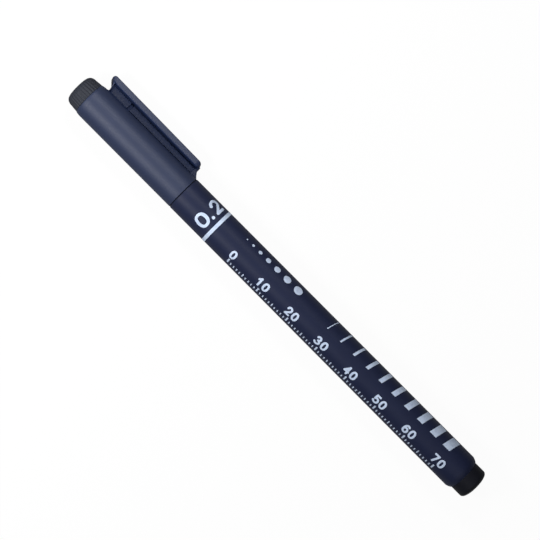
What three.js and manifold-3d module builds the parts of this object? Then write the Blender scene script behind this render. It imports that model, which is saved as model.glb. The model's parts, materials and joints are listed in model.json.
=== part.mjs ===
// A capped drawing pen (pigment fineliner), lying on its side as it comes to rest on a table:
// on the barrel's rear end and on one long edge of the pocket clip.
// Millimetres. Every piece is drawn on the pen's own axis, +Y from the rear plug to the crown,
// with station 0 at the face the cap closes against and the clip standing out towards +X.
// The finished pen is then laid along +X, with its box centred on the origin and its lowest line at Z 0.
import * as THREE from "three";
import { mergeVertices } from "three/addons/utils/BufferGeometryUtils.js";
import Module from "manifold-3d";

// Roundness: sides of every turned piece, and steps along a drawn curve
const turnedSides = 48;
const curveSteps = 5;

// Fits: the gap that is left between the two surfaces, measured on the radius or along the axis
const pressFit = 0.02;
const slideFit = 0.05;
const seatGap = 0.05;

// Cap tube
const capRadius = 4.65;
const capWall = 0.7;
const capRimInset = 0.2;
const capShoulderLength = 1.6;
const capLedgeHeight = 0.8;
const capLedgeDepth = 0.35;
const crownSeatWall = 0.95;
const lipChamfer = 0.12;

// Crown: the ribbed end piece of the cap
const crownHeight = 4.15;
const crownInset = 0.06;
const crownDraft = 0.19;
const crownEdgeRadius = 2.1;
const crownRibs = 32;
const crownRibDepth = 0.16;
const crownSpigotLength = 4;
const crownSpigotWall = 1;
const crownTopThickness = 1.2;

// Clip, one moulding with the cap tube. Reaches are from the cap's outside to the clip's outer face
const clipWidth = 4.4;
const clipThickness = 1.6;
const clipRootReach = 3.82;
const clipTipReach = 3.5;
const clipEdge = 0.22;
const clipOverhang = 0.08;
const clipTipStation = 1.47;
const clipTopCorner = 0.75;
const clipTipCorner = 0.9;
const clipPlanRadius = 1.3;
const clipRootLength = 6.4;
const clipRootWidth = 1.7;
const clipWebLength = 0.8;
const clipWebWidth = 0.6;
const clipRibWidth = 1.2;
const clipRibGap = 0.38;
const endWallSetback = 1.75;
const endWallSlope = 1.2;
const endWallFoot = 0.4;
const endWallHead = 0.7;
const endWallFillet = 0.25;
const footWidth = 3.4;
const footLength = 2.2;
const footGap = 0.15;
const footSaddle = 0.35;

// Inner cap: the soft liner that seals on the front section, with a little air round the nib
const linerWall = 0.55;
const linerEndWall = 0.9;
const linerLipHeight = 1;
const linerLipDepth = 0.1;
const nibRoom = 3.3;

// Barrel tube, a little wider at the rear as it leaves its mould
const barrelLength = 96.3;
const barrelInset = 0.02;
const barrelTaper = 0.17;
const barrelWall = 0.88;
const barrelShoulderLength = 1.15;
const barrelShoulderDepth = 0.68;
const barrelLipLength = 0.3;
const barrelRibs = 4;
const barrelRibHeight = 0.28;
const barrelRibWidth = 0.6;

// Front section: flange, neck, snap bead, sealing land and nose
const flangeThickness = 0.3;
const flangeInset = 0.08;
const sectionSpigotLength = 6;
const sectionWall = 1;
const neckLength = 9;
const beadSetback = 3.4;
const beadHeight = 0.12;
const beadWidth = 0.7;
const landLength = 4.2;
const noseLength = 7.3;
const noseTipWall = 0.63;
const noseStep = 0.18;
const airSlotWidth = 0.4;
const airSlotDepth = 0.2;

// Nib and its steel sleeve
const sleeveRadius = 0.52;
const sleeveWall = 0.14;
const sleeveShown = 2.7;
const sleeveSeatDepth = 4.5;
const nibTipRadius = 0.14;
const nibShown = 0.55;
const nibInRelay = 3;

// Ink relay: the fibre rod between reservoir and nib
const relayRadius = 1.1;
const relaySetback = 3.6;
const relayInReservoir = 8;

// Ink reservoir: a fibre core in a film sleeve
const filmThickness = 0.12;
const reservoirGap = 0.3;

// Rear plug
const plugHeight = 4.1;
const plugProud = 0.01;
const plugEdgeRadius = 1.1;
const plugDomeHeight = 0.35;
const plugSpigotLength = 6;
const plugWall = 0.9;
const plugFinThickness = 0.8;
const plugFinReach = 4;

// Sizes that follow from the ones above, from the nib back to the cap's end
const neckTop = neckLength;
const landTop = neckTop + landLength;
const noseTop = landTop + noseLength;
const sleeveSeat = noseTop - sleeveSeatDepth;
const sleeveTop = noseTop + sleeveShown;
const nibTop = sleeveTop + nibShown;
const nibRadius = sleeveRadius - sleeveWall - pressFit;
const beadStation = neckTop - beadSetback;
const ledgeStation = neckTop + 2 * seatGap;
const linerMouth = ledgeStation + capLedgeHeight + seatGap;
const linerTop = nibTop + nibRoom + linerEndWall;
const capMouth = seatGap;
const capTop = linerTop + seatGap + crownSpigotLength;
const crownSeat = capTop + seatGap;
const crownTop = crownSeat + crownHeight;

// The cap's radii, and what they give the pieces inside it
const capBore = capRadius - capWall;
const capUpperBore = capRadius - crownSeatWall;
const capRimRadius = capRadius - capRimInset;
const crownBaseRadius = capRimRadius - crownInset;
const linerRadius = capUpperBore - pressFit;
const linerBore = linerRadius - linerWall;
const linerLipRadius = linerBore - linerLipDepth;
const landRadius = linerLipRadius - slideFit;
const neckRadius = capBore - slideFit - beadHeight;

// The clip's places
const clipRootRadius = capRadius + clipRootReach;
const clipTipRadius = capRadius + clipTipReach;
const clipTop = capTop + clipOverhang;
const clipTipTop = clipTipStation + clipPlanRadius;
const endWallStation = clipTop - endWallSetback;
const clipRootTop = endWallStation - endWallFoot / 2;
const clipRootEnd = endWallStation - clipRootLength;
const clipSunk = capUpperBore + crownSeatWall / 3;

// The barrel and what it holds
const barrelFront = -flangeThickness - seatGap;
const barrelRear = barrelFront - barrelLength;
const barrelFrontRadius = capRadius - barrelInset;
const barrelRearRadius = barrelFrontRadius + barrelTaper;
const barrelLipRadius = barrelRearRadius - barrelShoulderDepth;
const barrelBore = barrelFrontRadius - barrelWall;
const plugSeat = barrelRear - seatGap;
const plugEnd = plugSeat - plugHeight;
const plugRadius = barrelLipRadius + plugProud;
const plugSpigotEnd = barrelRear + plugSpigotLength;
const sectionRear = barrelFront - sectionSpigotLength;
const sectionSpigotRadius = barrelBore - pressFit;
const sectionHollow = sectionSpigotRadius - sectionWall;
const reservoirFront = sectionRear - reservoirGap;
const reservoirRear = plugSpigotEnd + plugFinReach + seatGap;
const wrapRadius = barrelBore - barrelRibHeight - slideFit;
const coreRadius = wrapRadius - filmThickness - pressFit;
const relayRear = reservoirFront - relayInReservoir;
const relayFront = sleeveSeat - relaySetback;

const wasm = await Module();
wasm.setup();

/** A closed geometry as a solid that can be joined to others and cut. */
function toSolid(geometry) {
  const bare = geometry.index ? geometry.toNonIndexed() : geometry.clone();
  bare.deleteAttribute("normal");
  bare.deleteAttribute("uv");
  const merged = mergeVertices(bare, 1e-5);
  const mesh = new wasm.Mesh({
    numProp: 3,
    vertProperties: merged.attributes.position.array,
    triVerts: new Uint32Array(merged.index.array),
  });
  return new wasm.Manifold(mesh);
}

/** A solid's surface as a geometry. */
function toGeometry(solid) {
  const mesh = solid.getMesh();
  const geometry = new THREE.BufferGeometry();
  geometry.setAttribute("position", new THREE.BufferAttribute(mesh.vertProperties, 3));
  geometry.setIndex(new THREE.BufferAttribute(mesh.triVerts, 1));
  geometry.computeVertexNormals();
  return geometry;
}

/** An outline of [radius, station] corners and THREE curves, drawn anticlockwise, without repeated points. */
function outline(...stops) {
  const points = stops.flatMap((stop) =>
    stop instanceof THREE.Curve ? stop.getPoints(curveSteps) : [new THREE.Vector2(...stop)],
  );
  const apart = 1e-4;
  return points.filter((point, i) => i === 0 || point.distanceTo(points[i - 1]) > apart);
}

/** A rounded corner between two points, pulled towards the third. */
function bend(from, corner, to) {
  const [start, pull, end] = [from, corner, to].map((point) => new THREE.Vector2(...point));
  return new THREE.QuadraticBezierCurve(start, pull, end);
}

/** A piece turned about the pen's axis. An outline that leaves the axis alone is closed on itself. */
function turned(points, sides = turnedSides) {
  const onAxis = points[0].x === 0 && points.at(-1).x === 0;
  const loop = onAxis ? points : [...points, points[0].clone()];
  return new THREE.LatheGeometry(loop, sides);
}

/** A bar of the given width with its side outline in radius and station, and softened long edges. */
function bar(points, width, edge = 0) {
  const geometry = new THREE.ExtrudeGeometry(new THREE.Shape(points), {
    depth: width - 2 * edge,
    bevelEnabled: edge > 0,
    bevelThickness: edge,
    bevelSize: edge,
    bevelOffset: -edge,
    bevelSegments: 2,
    curveSegments: curveSteps,
  });
  return geometry.translate(0, 0, edge - width / 2);
}

/** The cap tube's solid outside, without its bore. */
function capOutside() {
  const shoulder = capTop - capShoulderLength;
  return toSolid(turned(outline(
    [0, capMouth],
    [capRadius - lipChamfer, capMouth],
    [capRadius, capMouth + lipChamfer],
    bend([capRadius, shoulder], [capRadius, capTop - capShoulderLength / 3], [capRimRadius, capTop]),
    [0, capTop],
  )));
}

/** Everything that is open inside the cap: mouth, snap groove, ledge and the seat of liner and crown. */
function capInside() {
  const past = 1;
  return toSolid(turned(outline(
    [0, capMouth - past],
    [capBore + lipChamfer, capMouth - past],
    [capBore + lipChamfer, capMouth],
    [capBore, capMouth + lipChamfer],
    bend(
      [capBore, beadStation - beadWidth],
      [capBore + 2 * beadHeight, beadStation],
      [capBore, beadStation + beadWidth],
    ),
    [capBore, ledgeStation],
    [capUpperBore - capLedgeDepth, ledgeStation],
    [capUpperBore - capLedgeDepth, ledgeStation + capLedgeHeight],
    [capUpperBore, ledgeStation + capLedgeHeight],
    [capUpperBore, capTop + past],
    [0, capTop + past],
  )));
}

/** The clip's outer plate, rounded at both ends when seen from outside. */
function clipPlate() {
  const side = outline(
    [clipRootRadius - clipThickness, clipTop],
    [clipTipRadius - clipThickness, clipTipStation],
    bend(
      [clipTipRadius - clipThickness / 2, clipTipStation],
      [clipTipRadius, clipTipStation],
      [clipTipRadius, clipTipStation + clipTipCorner],
    ),
    bend(
      [clipRootRadius, clipTop - clipTopCorner],
      [clipRootRadius, clipTop],
      [clipRootRadius - clipTopCorner, clipTop],
    ),
  );
  const half = clipWidth / 2;
  const plan = new THREE.Shape();
  plan.moveTo(half, clipTipTop);
  plan.lineTo(half, clipTop - clipTopCorner);
  plan.quadraticCurveTo(half, clipTop, half - clipTopCorner, clipTop);
  plan.lineTo(clipTopCorner - half, clipTop);
  plan.quadraticCurveTo(-half, clipTop, -half, clipTop - clipTopCorner);
  plan.lineTo(-half, clipTipTop);
  plan.quadraticCurveTo(-half, clipTipStation, clipPlanRadius - half, clipTipStation);
  plan.lineTo(half - clipPlanRadius, clipTipStation);
  plan.quadraticCurveTo(half, clipTipStation, half, clipTipTop);
  const stencil = new THREE.ExtrudeGeometry(plan, {
    depth: 2 * clipRootRadius,
    bevelEnabled: false,
    curveSegments: curveSteps,
  });
  stencil.rotateY(Math.PI / 2);
  return toSolid(bar(side, clipWidth, clipEdge)).intersect(toSolid(stencil));
}

/** The clip's end wall, which brings the plate's upper end down to the cap. */
function clipEndWall() {
  const under = clipRootRadius - clipThickness;
  const middle = clipRootRadius - clipThickness / 2;
  const low = capRadius + endWallFillet;
  const top = endWallStation + endWallSlope;
  return toSolid(bar(outline(
    [clipSunk, endWallStation - endWallFoot],
    [low, endWallStation - endWallFoot],
    [under, top - endWallHead],
    [middle, top - endWallHead],
    [middle, clipTop - clipTopCorner],
    bend([under, top], [(low + under) / 2, endWallStation + endWallFillet], [low, endWallStation]),
    [clipSunk, endWallStation],
  ), clipWidth - 2 * clipEdge));
}

/** The foot at the clip's free end: it slopes in to the cap and is hollowed to sit astride it. */
function clipFoot() {
  const sole = capRadius + footGap - footSaddle;
  const under = clipTipRadius - clipThickness;
  const middle = clipTipRadius - clipThickness / 2;
  const toe = capMouth + lipChamfer;
  const foot = toSolid(bar(outline(
    [sole, toe + footLength],
    [sole, toe],
    [capRadius, toe],
    [under, clipTipStation],
    [middle, clipTipStation + clipEdge],
    [middle, clipTipStation + footLength],
  ), footWidth));
  const saddleRadius = capRadius + footGap;
  const saddle = new THREE.CylinderGeometry(saddleRadius, saddleRadius, 4 * footLength, turnedSides);
  return foot.subtract(toSolid(saddle));
}

/** The block that ties the clip to the cap, a thin web beside it, and the rib that stiffens the plate. */
function clipRootAndRib() {
  const ribStart = clipRootEnd - clipWebLength;
  const ribEnd = clipTipStation + footLength / 2;
  const rootMiddle = clipRootRadius - clipThickness / 2;
  const tipMiddle = clipTipRadius - clipThickness / 2;
  const ribBottom = capRadius + clipRibGap;
  const root = outline(
    [clipSunk, clipRootEnd],
    [rootMiddle, clipRootEnd],
    [rootMiddle, clipRootTop],
    [clipSunk, clipRootTop],
  );
  const rib = outline(
    [ribBottom, ribEnd],
    [tipMiddle, ribEnd],
    [tipMiddle, ribStart],
    [ribBottom, ribStart],
  );
  const web = outline(
    [clipSunk, ribStart - clipWebWidth / 2],
    [tipMiddle, ribStart - clipWebWidth / 2],
    [tipMiddle, clipRootEnd + clipWebWidth / 2],
    [clipSunk, clipRootEnd + clipWebWidth / 2],
  );
  return toSolid(bar(root, clipRootWidth))
    .add(toSolid(bar(web, clipWebWidth)))
    .add(toSolid(bar(rib, clipRibWidth)));
}

/** The cap tube with its clip, one moulding. */
function capShell() {
  const clip = clipPlate().add(clipEndWall()).add(clipFoot()).add(clipRootAndRib());
  return toGeometry(capOutside().add(clip).subtract(capInside()));
}

/** The crown's head, turned and then fluted all the way over its rounded edge. */
function crownHead() {
  const top = crownBaseRadius - crownDraft;
  const head = turned(outline(
    [0, crownSeat],
    [crownBaseRadius, crownSeat],
    bend([top, crownTop - crownEdgeRadius], [top, crownTop], [top - crownEdgeRadius, crownTop]),
    [0, crownTop],
  ), 4 * crownRibs);
  const place = head.attributes.position;
  const flat = top - crownEdgeRadius;
  for (let i = 0; i < place.count; i += 1) {
    const radius = Math.hypot(place.getX(i), place.getZ(i));
    const angle = Math.atan2(place.getZ(i), place.getX(i));
    const fade = THREE.MathUtils.clamp((radius - flat) / crownEdgeRadius, 0, 1);
    const groove = crownRibDepth * fade * (0.5 - 0.5 * Math.cos(crownRibs * angle));
    const share = radius > flat ? (radius - groove) / radius : 1;
    place.setXYZ(i, place.getX(i) * share, place.getY(i), place.getZ(i) * share);
  }
  return toSolid(head);
}

/** The crown: ribbed head on a hollow spigot that is pressed into the cap tube. */
function capCrown() {
  const spigotRadius = capUpperBore - pressFit;
  const hollow = spigotRadius - crownSpigotWall;
  const ceiling = crownTop - crownTopThickness;
  const spigotEnd = linerTop + seatGap;
  const spigot = toSolid(turned(outline(
    [0, spigotEnd],
    [spigotRadius - lipChamfer, spigotEnd],
    [spigotRadius, spigotEnd + lipChamfer],
    [spigotRadius, crownSeat + lipChamfer],
    [0, crownSeat + lipChamfer],
  )));
  const core = toSolid(turned(outline(
    [0, spigotEnd - lipChamfer],
    [hollow, spigotEnd - lipChamfer],
    bend([hollow, ceiling - crownTopThickness], [hollow, ceiling], [hollow - crownTopThickness, ceiling]),
    [0, ceiling],
  )));
  return toGeometry(crownHead().add(spigot).subtract(core));
}

/** The inner cap: a closed liner with a lip that seals on the front section's land. */
function innerCap() {
  return turned(outline(
    [0, linerTop - linerEndWall],
    [linerBore - linerWall, linerTop - linerEndWall],
    [linerBore, linerTop - linerEndWall - linerWall],
    [linerBore, linerMouth + 2 * linerLipHeight],
    [linerLipRadius, linerMouth + linerLipHeight],
    [linerLipRadius, linerMouth + lipChamfer],
    [linerLipRadius + lipChamfer, linerMouth],
    [linerRadius, linerMouth],
    [linerRadius, linerTop - linerWall],
    [linerRadius - linerWall, linerTop],
    [0, linerTop],
  ));
}

/** The barrel tube: drafted outside, rear shoulder and lip, and ribs inside that centre the reservoir. */
function barrel() {
  const shoulder = barrelRear + barrelLipLength + barrelShoulderLength;
  const lip = barrelRear + barrelLipLength;
  const tube = toSolid(turned(outline(
    [barrelBore, barrelRear],
    [barrelLipRadius, barrelRear],
    [barrelLipRadius, lip],
    bend(
      [barrelLipRadius, lip],
      [barrelRearRadius - 0.4 * barrelShoulderDepth, lip + 0.4 * barrelShoulderLength],
      [barrelRearRadius, shoulder],
    ),
    [barrelFrontRadius, barrelFront - lipChamfer],
    [barrelFrontRadius - lipChamfer, barrelFront],
    [barrelBore, barrelFront],
  )));
  const ribRoot = barrelBore + barrelWall / 2;
  const ribTop = barrelBore - barrelRibHeight;
  const ribs = Array.from({ length: barrelRibs }, (_, i) => {
    const rib = new THREE.BoxGeometry(ribRoot - ribTop, reservoirFront - reservoirRear, barrelRibWidth);
    rib.translate((ribRoot + ribTop) / 2, (reservoirFront + reservoirRear) / 2, 0);
    rib.rotateY((2 * Math.PI * i) / barrelRibs);
    return toSolid(rib);
  });
  return toGeometry(ribs.reduce((whole, rib) => whole.add(rib), tube));
}

/** The front section: spigot in the barrel, flange, neck with its snap bead, sealing land and nose. */
function frontSection() {
  const sleeveBore = sleeveRadius + pressFit;
  const rodBore = nibRadius + slideFit;
  const relayBore = relayRadius + slideFit;
  const relaySeat = relayFront + seatGap;
  const hollowEnd = neckTop - sectionWall;
  const flangeRadius = barrelFrontRadius - flangeInset;
  const noseTipRadius = sleeveBore + noseTipWall;
  const noseStart = landRadius - noseStep;
  const body = toSolid(turned(outline(
    [sectionHollow, sectionRear],
    [sectionSpigotRadius - lipChamfer, sectionRear],
    [sectionSpigotRadius, sectionRear + lipChamfer],
    [sectionSpigotRadius, -flangeThickness],
    [flangeRadius, -flangeThickness],
    [flangeRadius, 0],
    [neckRadius, 0],
    bend(
      [neckRadius, beadStation - beadWidth / 2],
      [neckRadius + 2 * beadHeight, beadStation],
      [neckRadius, beadStation + beadWidth / 2],
    ),
    [neckRadius, neckTop - noseStep],
    [neckRadius - noseStep, neckTop],
    [landRadius, neckTop],
    [landRadius, landTop],
    bend(
      [noseStart, landTop + noseStep],
      [noseTipRadius + noseStep, landTop + noseLength / 2],
      [noseTipRadius, noseTop - noseStep],
    ),
    [noseTipRadius - noseStep, noseTop],
    [sleeveBore, noseTop],
    [sleeveBore, sleeveSeat],
    [rodBore, sleeveSeat],
    [rodBore, relaySeat],
    [relayBore, relaySeat],
    [relayBore, hollowEnd],
    [sectionHollow, hollowEnd - sectionWall],
  )));
  return toGeometry(body
    .subtract(airSlot(relayBore, hollowEnd - sectionWall, relaySeat))
    .subtract(airSlot(sleeveBore, relaySeat - airSlotWidth, noseTop + airSlotWidth)));
}

/** A slot beside a bore, through which air replaces the ink that is drawn. */
function airSlot(bore, from, to) {
  const reach = bore + airSlotDepth;
  const slot = new THREE.BoxGeometry(reach, to - from, airSlotWidth);
  return toSolid(slot.translate(reach / 2, (from + to) / 2, 0));
}

/** The steel sleeve round the nib, rolled in a little at its mouth. */
function nibSleeve() {
  const inside = sleeveRadius - sleeveWall;
  return turned(outline(
    [inside, sleeveSeat + seatGap],
    [sleeveRadius, sleeveSeat + seatGap],
    [sleeveRadius, sleeveTop - sleeveWall],
    [sleeveRadius - sleeveWall, sleeveTop],
    [nibTipRadius + slideFit, sleeveTop],
    [nibTipRadius + slideFit, sleeveTop - sleeveWall],
    [inside, sleeveTop - 2 * sleeveWall],
  ), turnedSides / 2);
}

/** The nib: one capillary rod, ground fine at the tip, with its tail in the relay. */
function nib() {
  const tail = relayFront - nibInRelay;
  const neckStart = sleeveTop - 3 * sleeveWall;
  return turned(outline(
    [0, tail],
    [nibRadius, tail + nibRadius],
    [nibRadius, neckStart],
    [nibTipRadius, neckStart + nibRadius - nibTipRadius],
    bend([nibTipRadius, nibTop - nibTipRadius], [nibTipRadius, nibTop], [0, nibTop]),
  ), turnedSides / 2);
}

/** The ink relay: a fibre rod, pierced at the front by the nib's tail. */
function inkRelay() {
  const pierced = nibRadius + pressFit;
  return turned(outline(
    [0, relayRear],
    [relayRadius - lipChamfer, relayRear],
    [relayRadius, relayRear + lipChamfer],
    [relayRadius, relayFront - lipChamfer],
    [relayRadius - lipChamfer, relayFront],
    [pierced, relayFront],
    [pierced, relayFront - nibInRelay - seatGap],
    [0, relayFront - nibInRelay - seatGap],
  ), turnedSides / 2);
}

/** The reservoir's fibre core, pierced by the relay's tail. */
function reservoirCore() {
  const pierced = relayRadius + pressFit;
  return turned(outline(
    [0, reservoirRear],
    [coreRadius, reservoirRear],
    [coreRadius, reservoirFront],
    [pierced, reservoirFront],
    [pierced, relayRear - seatGap],
    [0, relayRear - seatGap],
  ));
}

/** The film sleeve round the core. */
function reservoirWrap() {
  return turned(outline(
    [wrapRadius - filmThickness, reservoirRear],
    [wrapRadius, reservoirRear],
    [wrapRadius, reservoirFront],
    [wrapRadius - filmThickness, reservoirFront],
  ));
}

/** The rear plug: domed head, hollow spigot, and crossed fins that hold the reservoir forward. */
function rearPlug() {
  const spigotRadius = barrelBore - pressFit;
  const floor = plugEnd + plugHeight / 2;
  const hollow = spigotRadius - plugWall;
  const shoulder = plugEnd + plugDomeHeight;
  const body = toSolid(turned(outline(
    bend([0, plugEnd], [plugRadius / 2, plugEnd], [plugRadius - plugEdgeRadius, shoulder]),
    bend(
      [plugRadius - plugEdgeRadius, shoulder],
      [plugRadius, shoulder + plugDomeHeight],
      [plugRadius, shoulder + plugEdgeRadius],
    ),
    [plugRadius, plugSeat],
    [spigotRadius, plugSeat],
    [spigotRadius, plugSpigotEnd - 2 * lipChamfer],
    [spigotRadius - lipChamfer, plugSpigotEnd],
    [hollow, plugSpigotEnd],
    [hollow, floor + plugDomeHeight],
    [0, floor],
  )));
  const finBottom = floor - plugWall / 2;
  const finTop = plugSpigotEnd + plugFinReach;
  const finWidth = 2 * hollow - plugWall;
  const fins = [0, 1].map((i) => {
    const fin = new THREE.BoxGeometry(finWidth, finTop - finBottom, plugFinThickness);
    fin.translate(0, (finTop + finBottom) / 2, 0);
    fin.rotateY((i * Math.PI) / 2);
    return toSolid(fin);
  });
  return toGeometry(fins.reduce((whole, fin) => whole.add(fin), body));
}

const materials = {
  capPlastic: new THREE.MeshStandardMaterial({ color: 0x3a425f, roughness: 0.6, metalness: 0 }),
  barrelPlastic: new THREE.MeshStandardMaterial({ color: 0x1f263e, roughness: 0.5, metalness: 0 }),
  crownPlastic: new THREE.MeshStandardMaterial({ color: 0x393c47, roughness: 0.62, metalness: 0 }),
  blackPlastic: new THREE.MeshStandardMaterial({ color: 0x15161c, roughness: 0.5, metalness: 0 }),
  linerPlastic: new THREE.MeshStandardMaterial({ color: 0xd9dde0, roughness: 0.5, metalness: 0 }),
  steel: new THREE.MeshStandardMaterial({ color: 0xc4c7cb, roughness: 0.25, metalness: 1 }),
  nibPlastic: new THREE.MeshStandardMaterial({ color: 0x202126, roughness: 0.6, metalness: 0 }),
  inkFibre: new THREE.MeshStandardMaterial({ color: 0x101116, roughness: 0.95, metalness: 0 }),
  film: new THREE.MeshStandardMaterial({ color: 0xe6e8ea, roughness: 0.2, metalness: 0 }),
};

/** A named piece in its own material. */
function piece(name, geometry, material) {
  const mesh = new THREE.Mesh(geometry, material);
  mesh.name = name;
  return mesh;
}

// The cap comes off as one: tube with clip, crown and inner cap
const cap = new THREE.Group();
cap.add(
  piece("cap_shell", capShell(), materials.capPlastic),
  piece("cap_crown", capCrown(), materials.crownPlastic),
  piece("inner_cap", innerCap(), materials.linerPlastic),
);

// What is left in the hand
const body = new THREE.Group();
body.add(
  piece("barrel", barrel(), materials.barrelPlastic),
  piece("front_section", frontSection(), materials.blackPlastic),
  piece("nib_sleeve", nibSleeve(), materials.steel),
  piece("nib", nib(), materials.nibPlastic),
  piece("ink_relay", inkRelay(), materials.inkFibre),
  piece("reservoir_core", reservoirCore(), materials.inkFibre),
  piece("reservoir_wrap", reservoirWrap(), materials.film),
  piece("rear_plug", rearPlug(), materials.blackPlastic),
);

// Rolled until the clip's rounded lower edge and the barrel's rear touch the same table
const edgeAcross = clipWidth / 2 - clipEdge;
const edgeOut = clipRootRadius - clipEdge;
const edgeReach = Math.hypot(edgeAcross, edgeOut);
const restRoll = Math.asin((barrelRearRadius - clipEdge) / edgeReach) - Math.atan2(edgeAcross, edgeOut);

const pen = new THREE.Group();
pen.add(cap, body);
pen.rotation.z = Math.PI / 2;

const lying = new THREE.Group();
lying.add(pen);
lying.rotation.x = -restRoll;
lying.updateMatrixWorld(true);
const box = new THREE.Box3().setFromObject(lying, true);
const centre = box.getCenter(new THREE.Vector3());
lying.position.set(-centre.x, -centre.y, -box.min.z);

const drawingPen = new THREE.Group();
drawingPen.add(lying);

export default drawingPen;
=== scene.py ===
"""A capped drawing pen, lying on a pale floor on its barrel and the edge of its clip.

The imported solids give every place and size. This script dresses them: each piece is turned, lofted or
joined again at the fineness that shows, and gets the finish of the plastic, steel or fibre it is made of.
"""

from __future__ import annotations

import json
import logging
import math
from dataclasses import dataclass, fields
from enum import Enum
from typing import Any, Callable, ClassVar, Iterable, Sequence

import bmesh
import bpy
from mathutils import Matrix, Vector
from mathutils.geometry import delaunay_2d_cdt

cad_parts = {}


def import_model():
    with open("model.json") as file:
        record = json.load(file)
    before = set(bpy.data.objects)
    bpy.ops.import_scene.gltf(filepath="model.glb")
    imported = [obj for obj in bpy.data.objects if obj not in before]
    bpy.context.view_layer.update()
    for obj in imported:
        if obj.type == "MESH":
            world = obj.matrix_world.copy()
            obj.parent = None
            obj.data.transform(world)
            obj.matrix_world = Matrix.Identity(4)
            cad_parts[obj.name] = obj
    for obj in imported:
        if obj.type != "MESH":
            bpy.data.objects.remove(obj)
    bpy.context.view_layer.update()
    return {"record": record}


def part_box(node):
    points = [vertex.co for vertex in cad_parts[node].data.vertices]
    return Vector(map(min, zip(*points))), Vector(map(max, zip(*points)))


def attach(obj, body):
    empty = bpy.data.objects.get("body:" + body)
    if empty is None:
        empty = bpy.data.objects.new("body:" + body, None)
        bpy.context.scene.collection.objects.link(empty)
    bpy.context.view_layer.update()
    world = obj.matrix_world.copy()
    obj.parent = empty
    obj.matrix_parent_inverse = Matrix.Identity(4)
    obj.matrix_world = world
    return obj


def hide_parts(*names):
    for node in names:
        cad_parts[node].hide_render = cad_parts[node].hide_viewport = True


LOG = logging.getLogger("drawing_pen")
MM = 0.001
TINY = 1e-6
WHITE = (1.0, 1.0, 1.0, 1.0)

Point = tuple[float, float]
Node = bpy.types.Node
Socket = bpy.types.NodeSocket


class Body(Enum):
    """The two halves that the pen comes apart into."""

    PEN = "pen"
    CAP = "cap"


class Slot(Enum):
    """The record's material slots."""

    CAP = "cap_plastic"
    BARREL = "barrel_plastic"
    CROWN = "crown_plastic"
    BLACK = "black_plastic"
    LINER = "liner_plastic"
    STEEL = "steel"
    NIB = "nib_plastic"
    FIBRE = "ink_fibre"
    FILM = "film"


# Colour and shader nodes


def linear(hex_colour: str) -> tuple[float, float, float, float]:
    """Turns an sRGB hex colour into linear light.

    Args:
        hex_colour: The colour as "#rrggbb".

    Returns:
        Red, green, blue and an alpha of 1.
    """
    parts = [int(hex_colour[i : i + 2], 16) / 255 for i in (1, 3, 5)]
    bent = [p / 12.92 if p <= 0.04045 else ((p + 0.055) / 1.055) ** 2.4 for p in parts]
    return (bent[0], bent[1], bent[2], 1.0)


def add_node(
    tree: bpy.types.NodeTree,
    kind: str,
    settings: dict[str | int, Any] | None = None,
    links: dict[str | int, Socket] | None = None,
) -> Node:
    """Adds a shader node with its settings and links.

    Args:
        tree: The node tree that gets the node.
        kind: The node's type.
        settings: Values by property name, or by an input's name or number. "stops" is for a ramp and
            holds the place and colour of each stop.
        links: The sockets that feed inputs, by the input's name or number.

    Returns:
        The new node.
    """
    node = tree.nodes.new(kind)
    for name, value in (settings or {}).items():
        if name == "stops":
            for stop, (position, colour) in zip(node.color_ramp.elements, value):
                stop.position, stop.color = position, colour
        elif isinstance(name, str) and hasattr(node, name):
            setattr(node, name, value)
        else:
            node.inputs[name].default_value = value
    for name, socket in (links or {}).items():
        tree.links.new(socket, node.inputs[name])
    return node


def surface_millimetres(tree: bpy.types.NodeTree, stretch: Sequence[float] = (1, 1, 1)) -> Socket:
    """Gives the surface's own place in millimetres.

    Args:
        tree: The material's node tree.
        stretch: How much finer a pattern gets along X, Y and Z.

    Returns:
        The socket that holds the place.
    """
    place = add_node(tree, "ShaderNodeTexCoord")
    scale = tuple(s / MM for s in stretch)
    mapping = add_node(tree, "ShaderNodeMapping", {"Scale": scale}, {"Vector": place.outputs["Object"]})
    return mapping.outputs["Vector"]


def new_material(name: str) -> tuple[bpy.types.Material, bpy.types.NodeTree, Node]:
    """Makes an empty material.

    Args:
        name: The material's name.

    Returns:
        The material, its node tree and its output node.
    """
    material = bpy.data.materials.new(name)
    material.use_nodes = True
    tree = material.node_tree
    tree.nodes.clear()
    return material, tree, tree.nodes.new("ShaderNodeOutputMaterial")


def close_material(
    tree: bpy.types.NodeTree,
    output: Node,
    relief: tuple[Node, float],
    settings: dict[str | int, Any],
    links: dict[str | int, Socket],
) -> Node:
    """Adds the relief and the shader that every finish ends with, and joins them to the output.

    Args:
        tree: The material's node tree.
        output: Its output node.
        relief: The pattern that stands proud, and how high it stands in millimetres.
        settings: The shader's values.
        links: The sockets that feed it.

    Returns:
        The shader.
    """
    pattern, height_mm = relief
    bump = add_node(
        tree,
        "ShaderNodeBump",
        {"Strength": 1.0, "Distance": height_mm * MM},
        {"Height": pattern.outputs["Fac"]},
    )
    links = {**links, "Normal": bump.outputs["Normal"]}
    shader = add_node(tree, "ShaderNodeBsdfPrincipled", settings, links)
    tree.links.new(shader.outputs["BSDF"], output.inputs["Surface"])
    return shader


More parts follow.
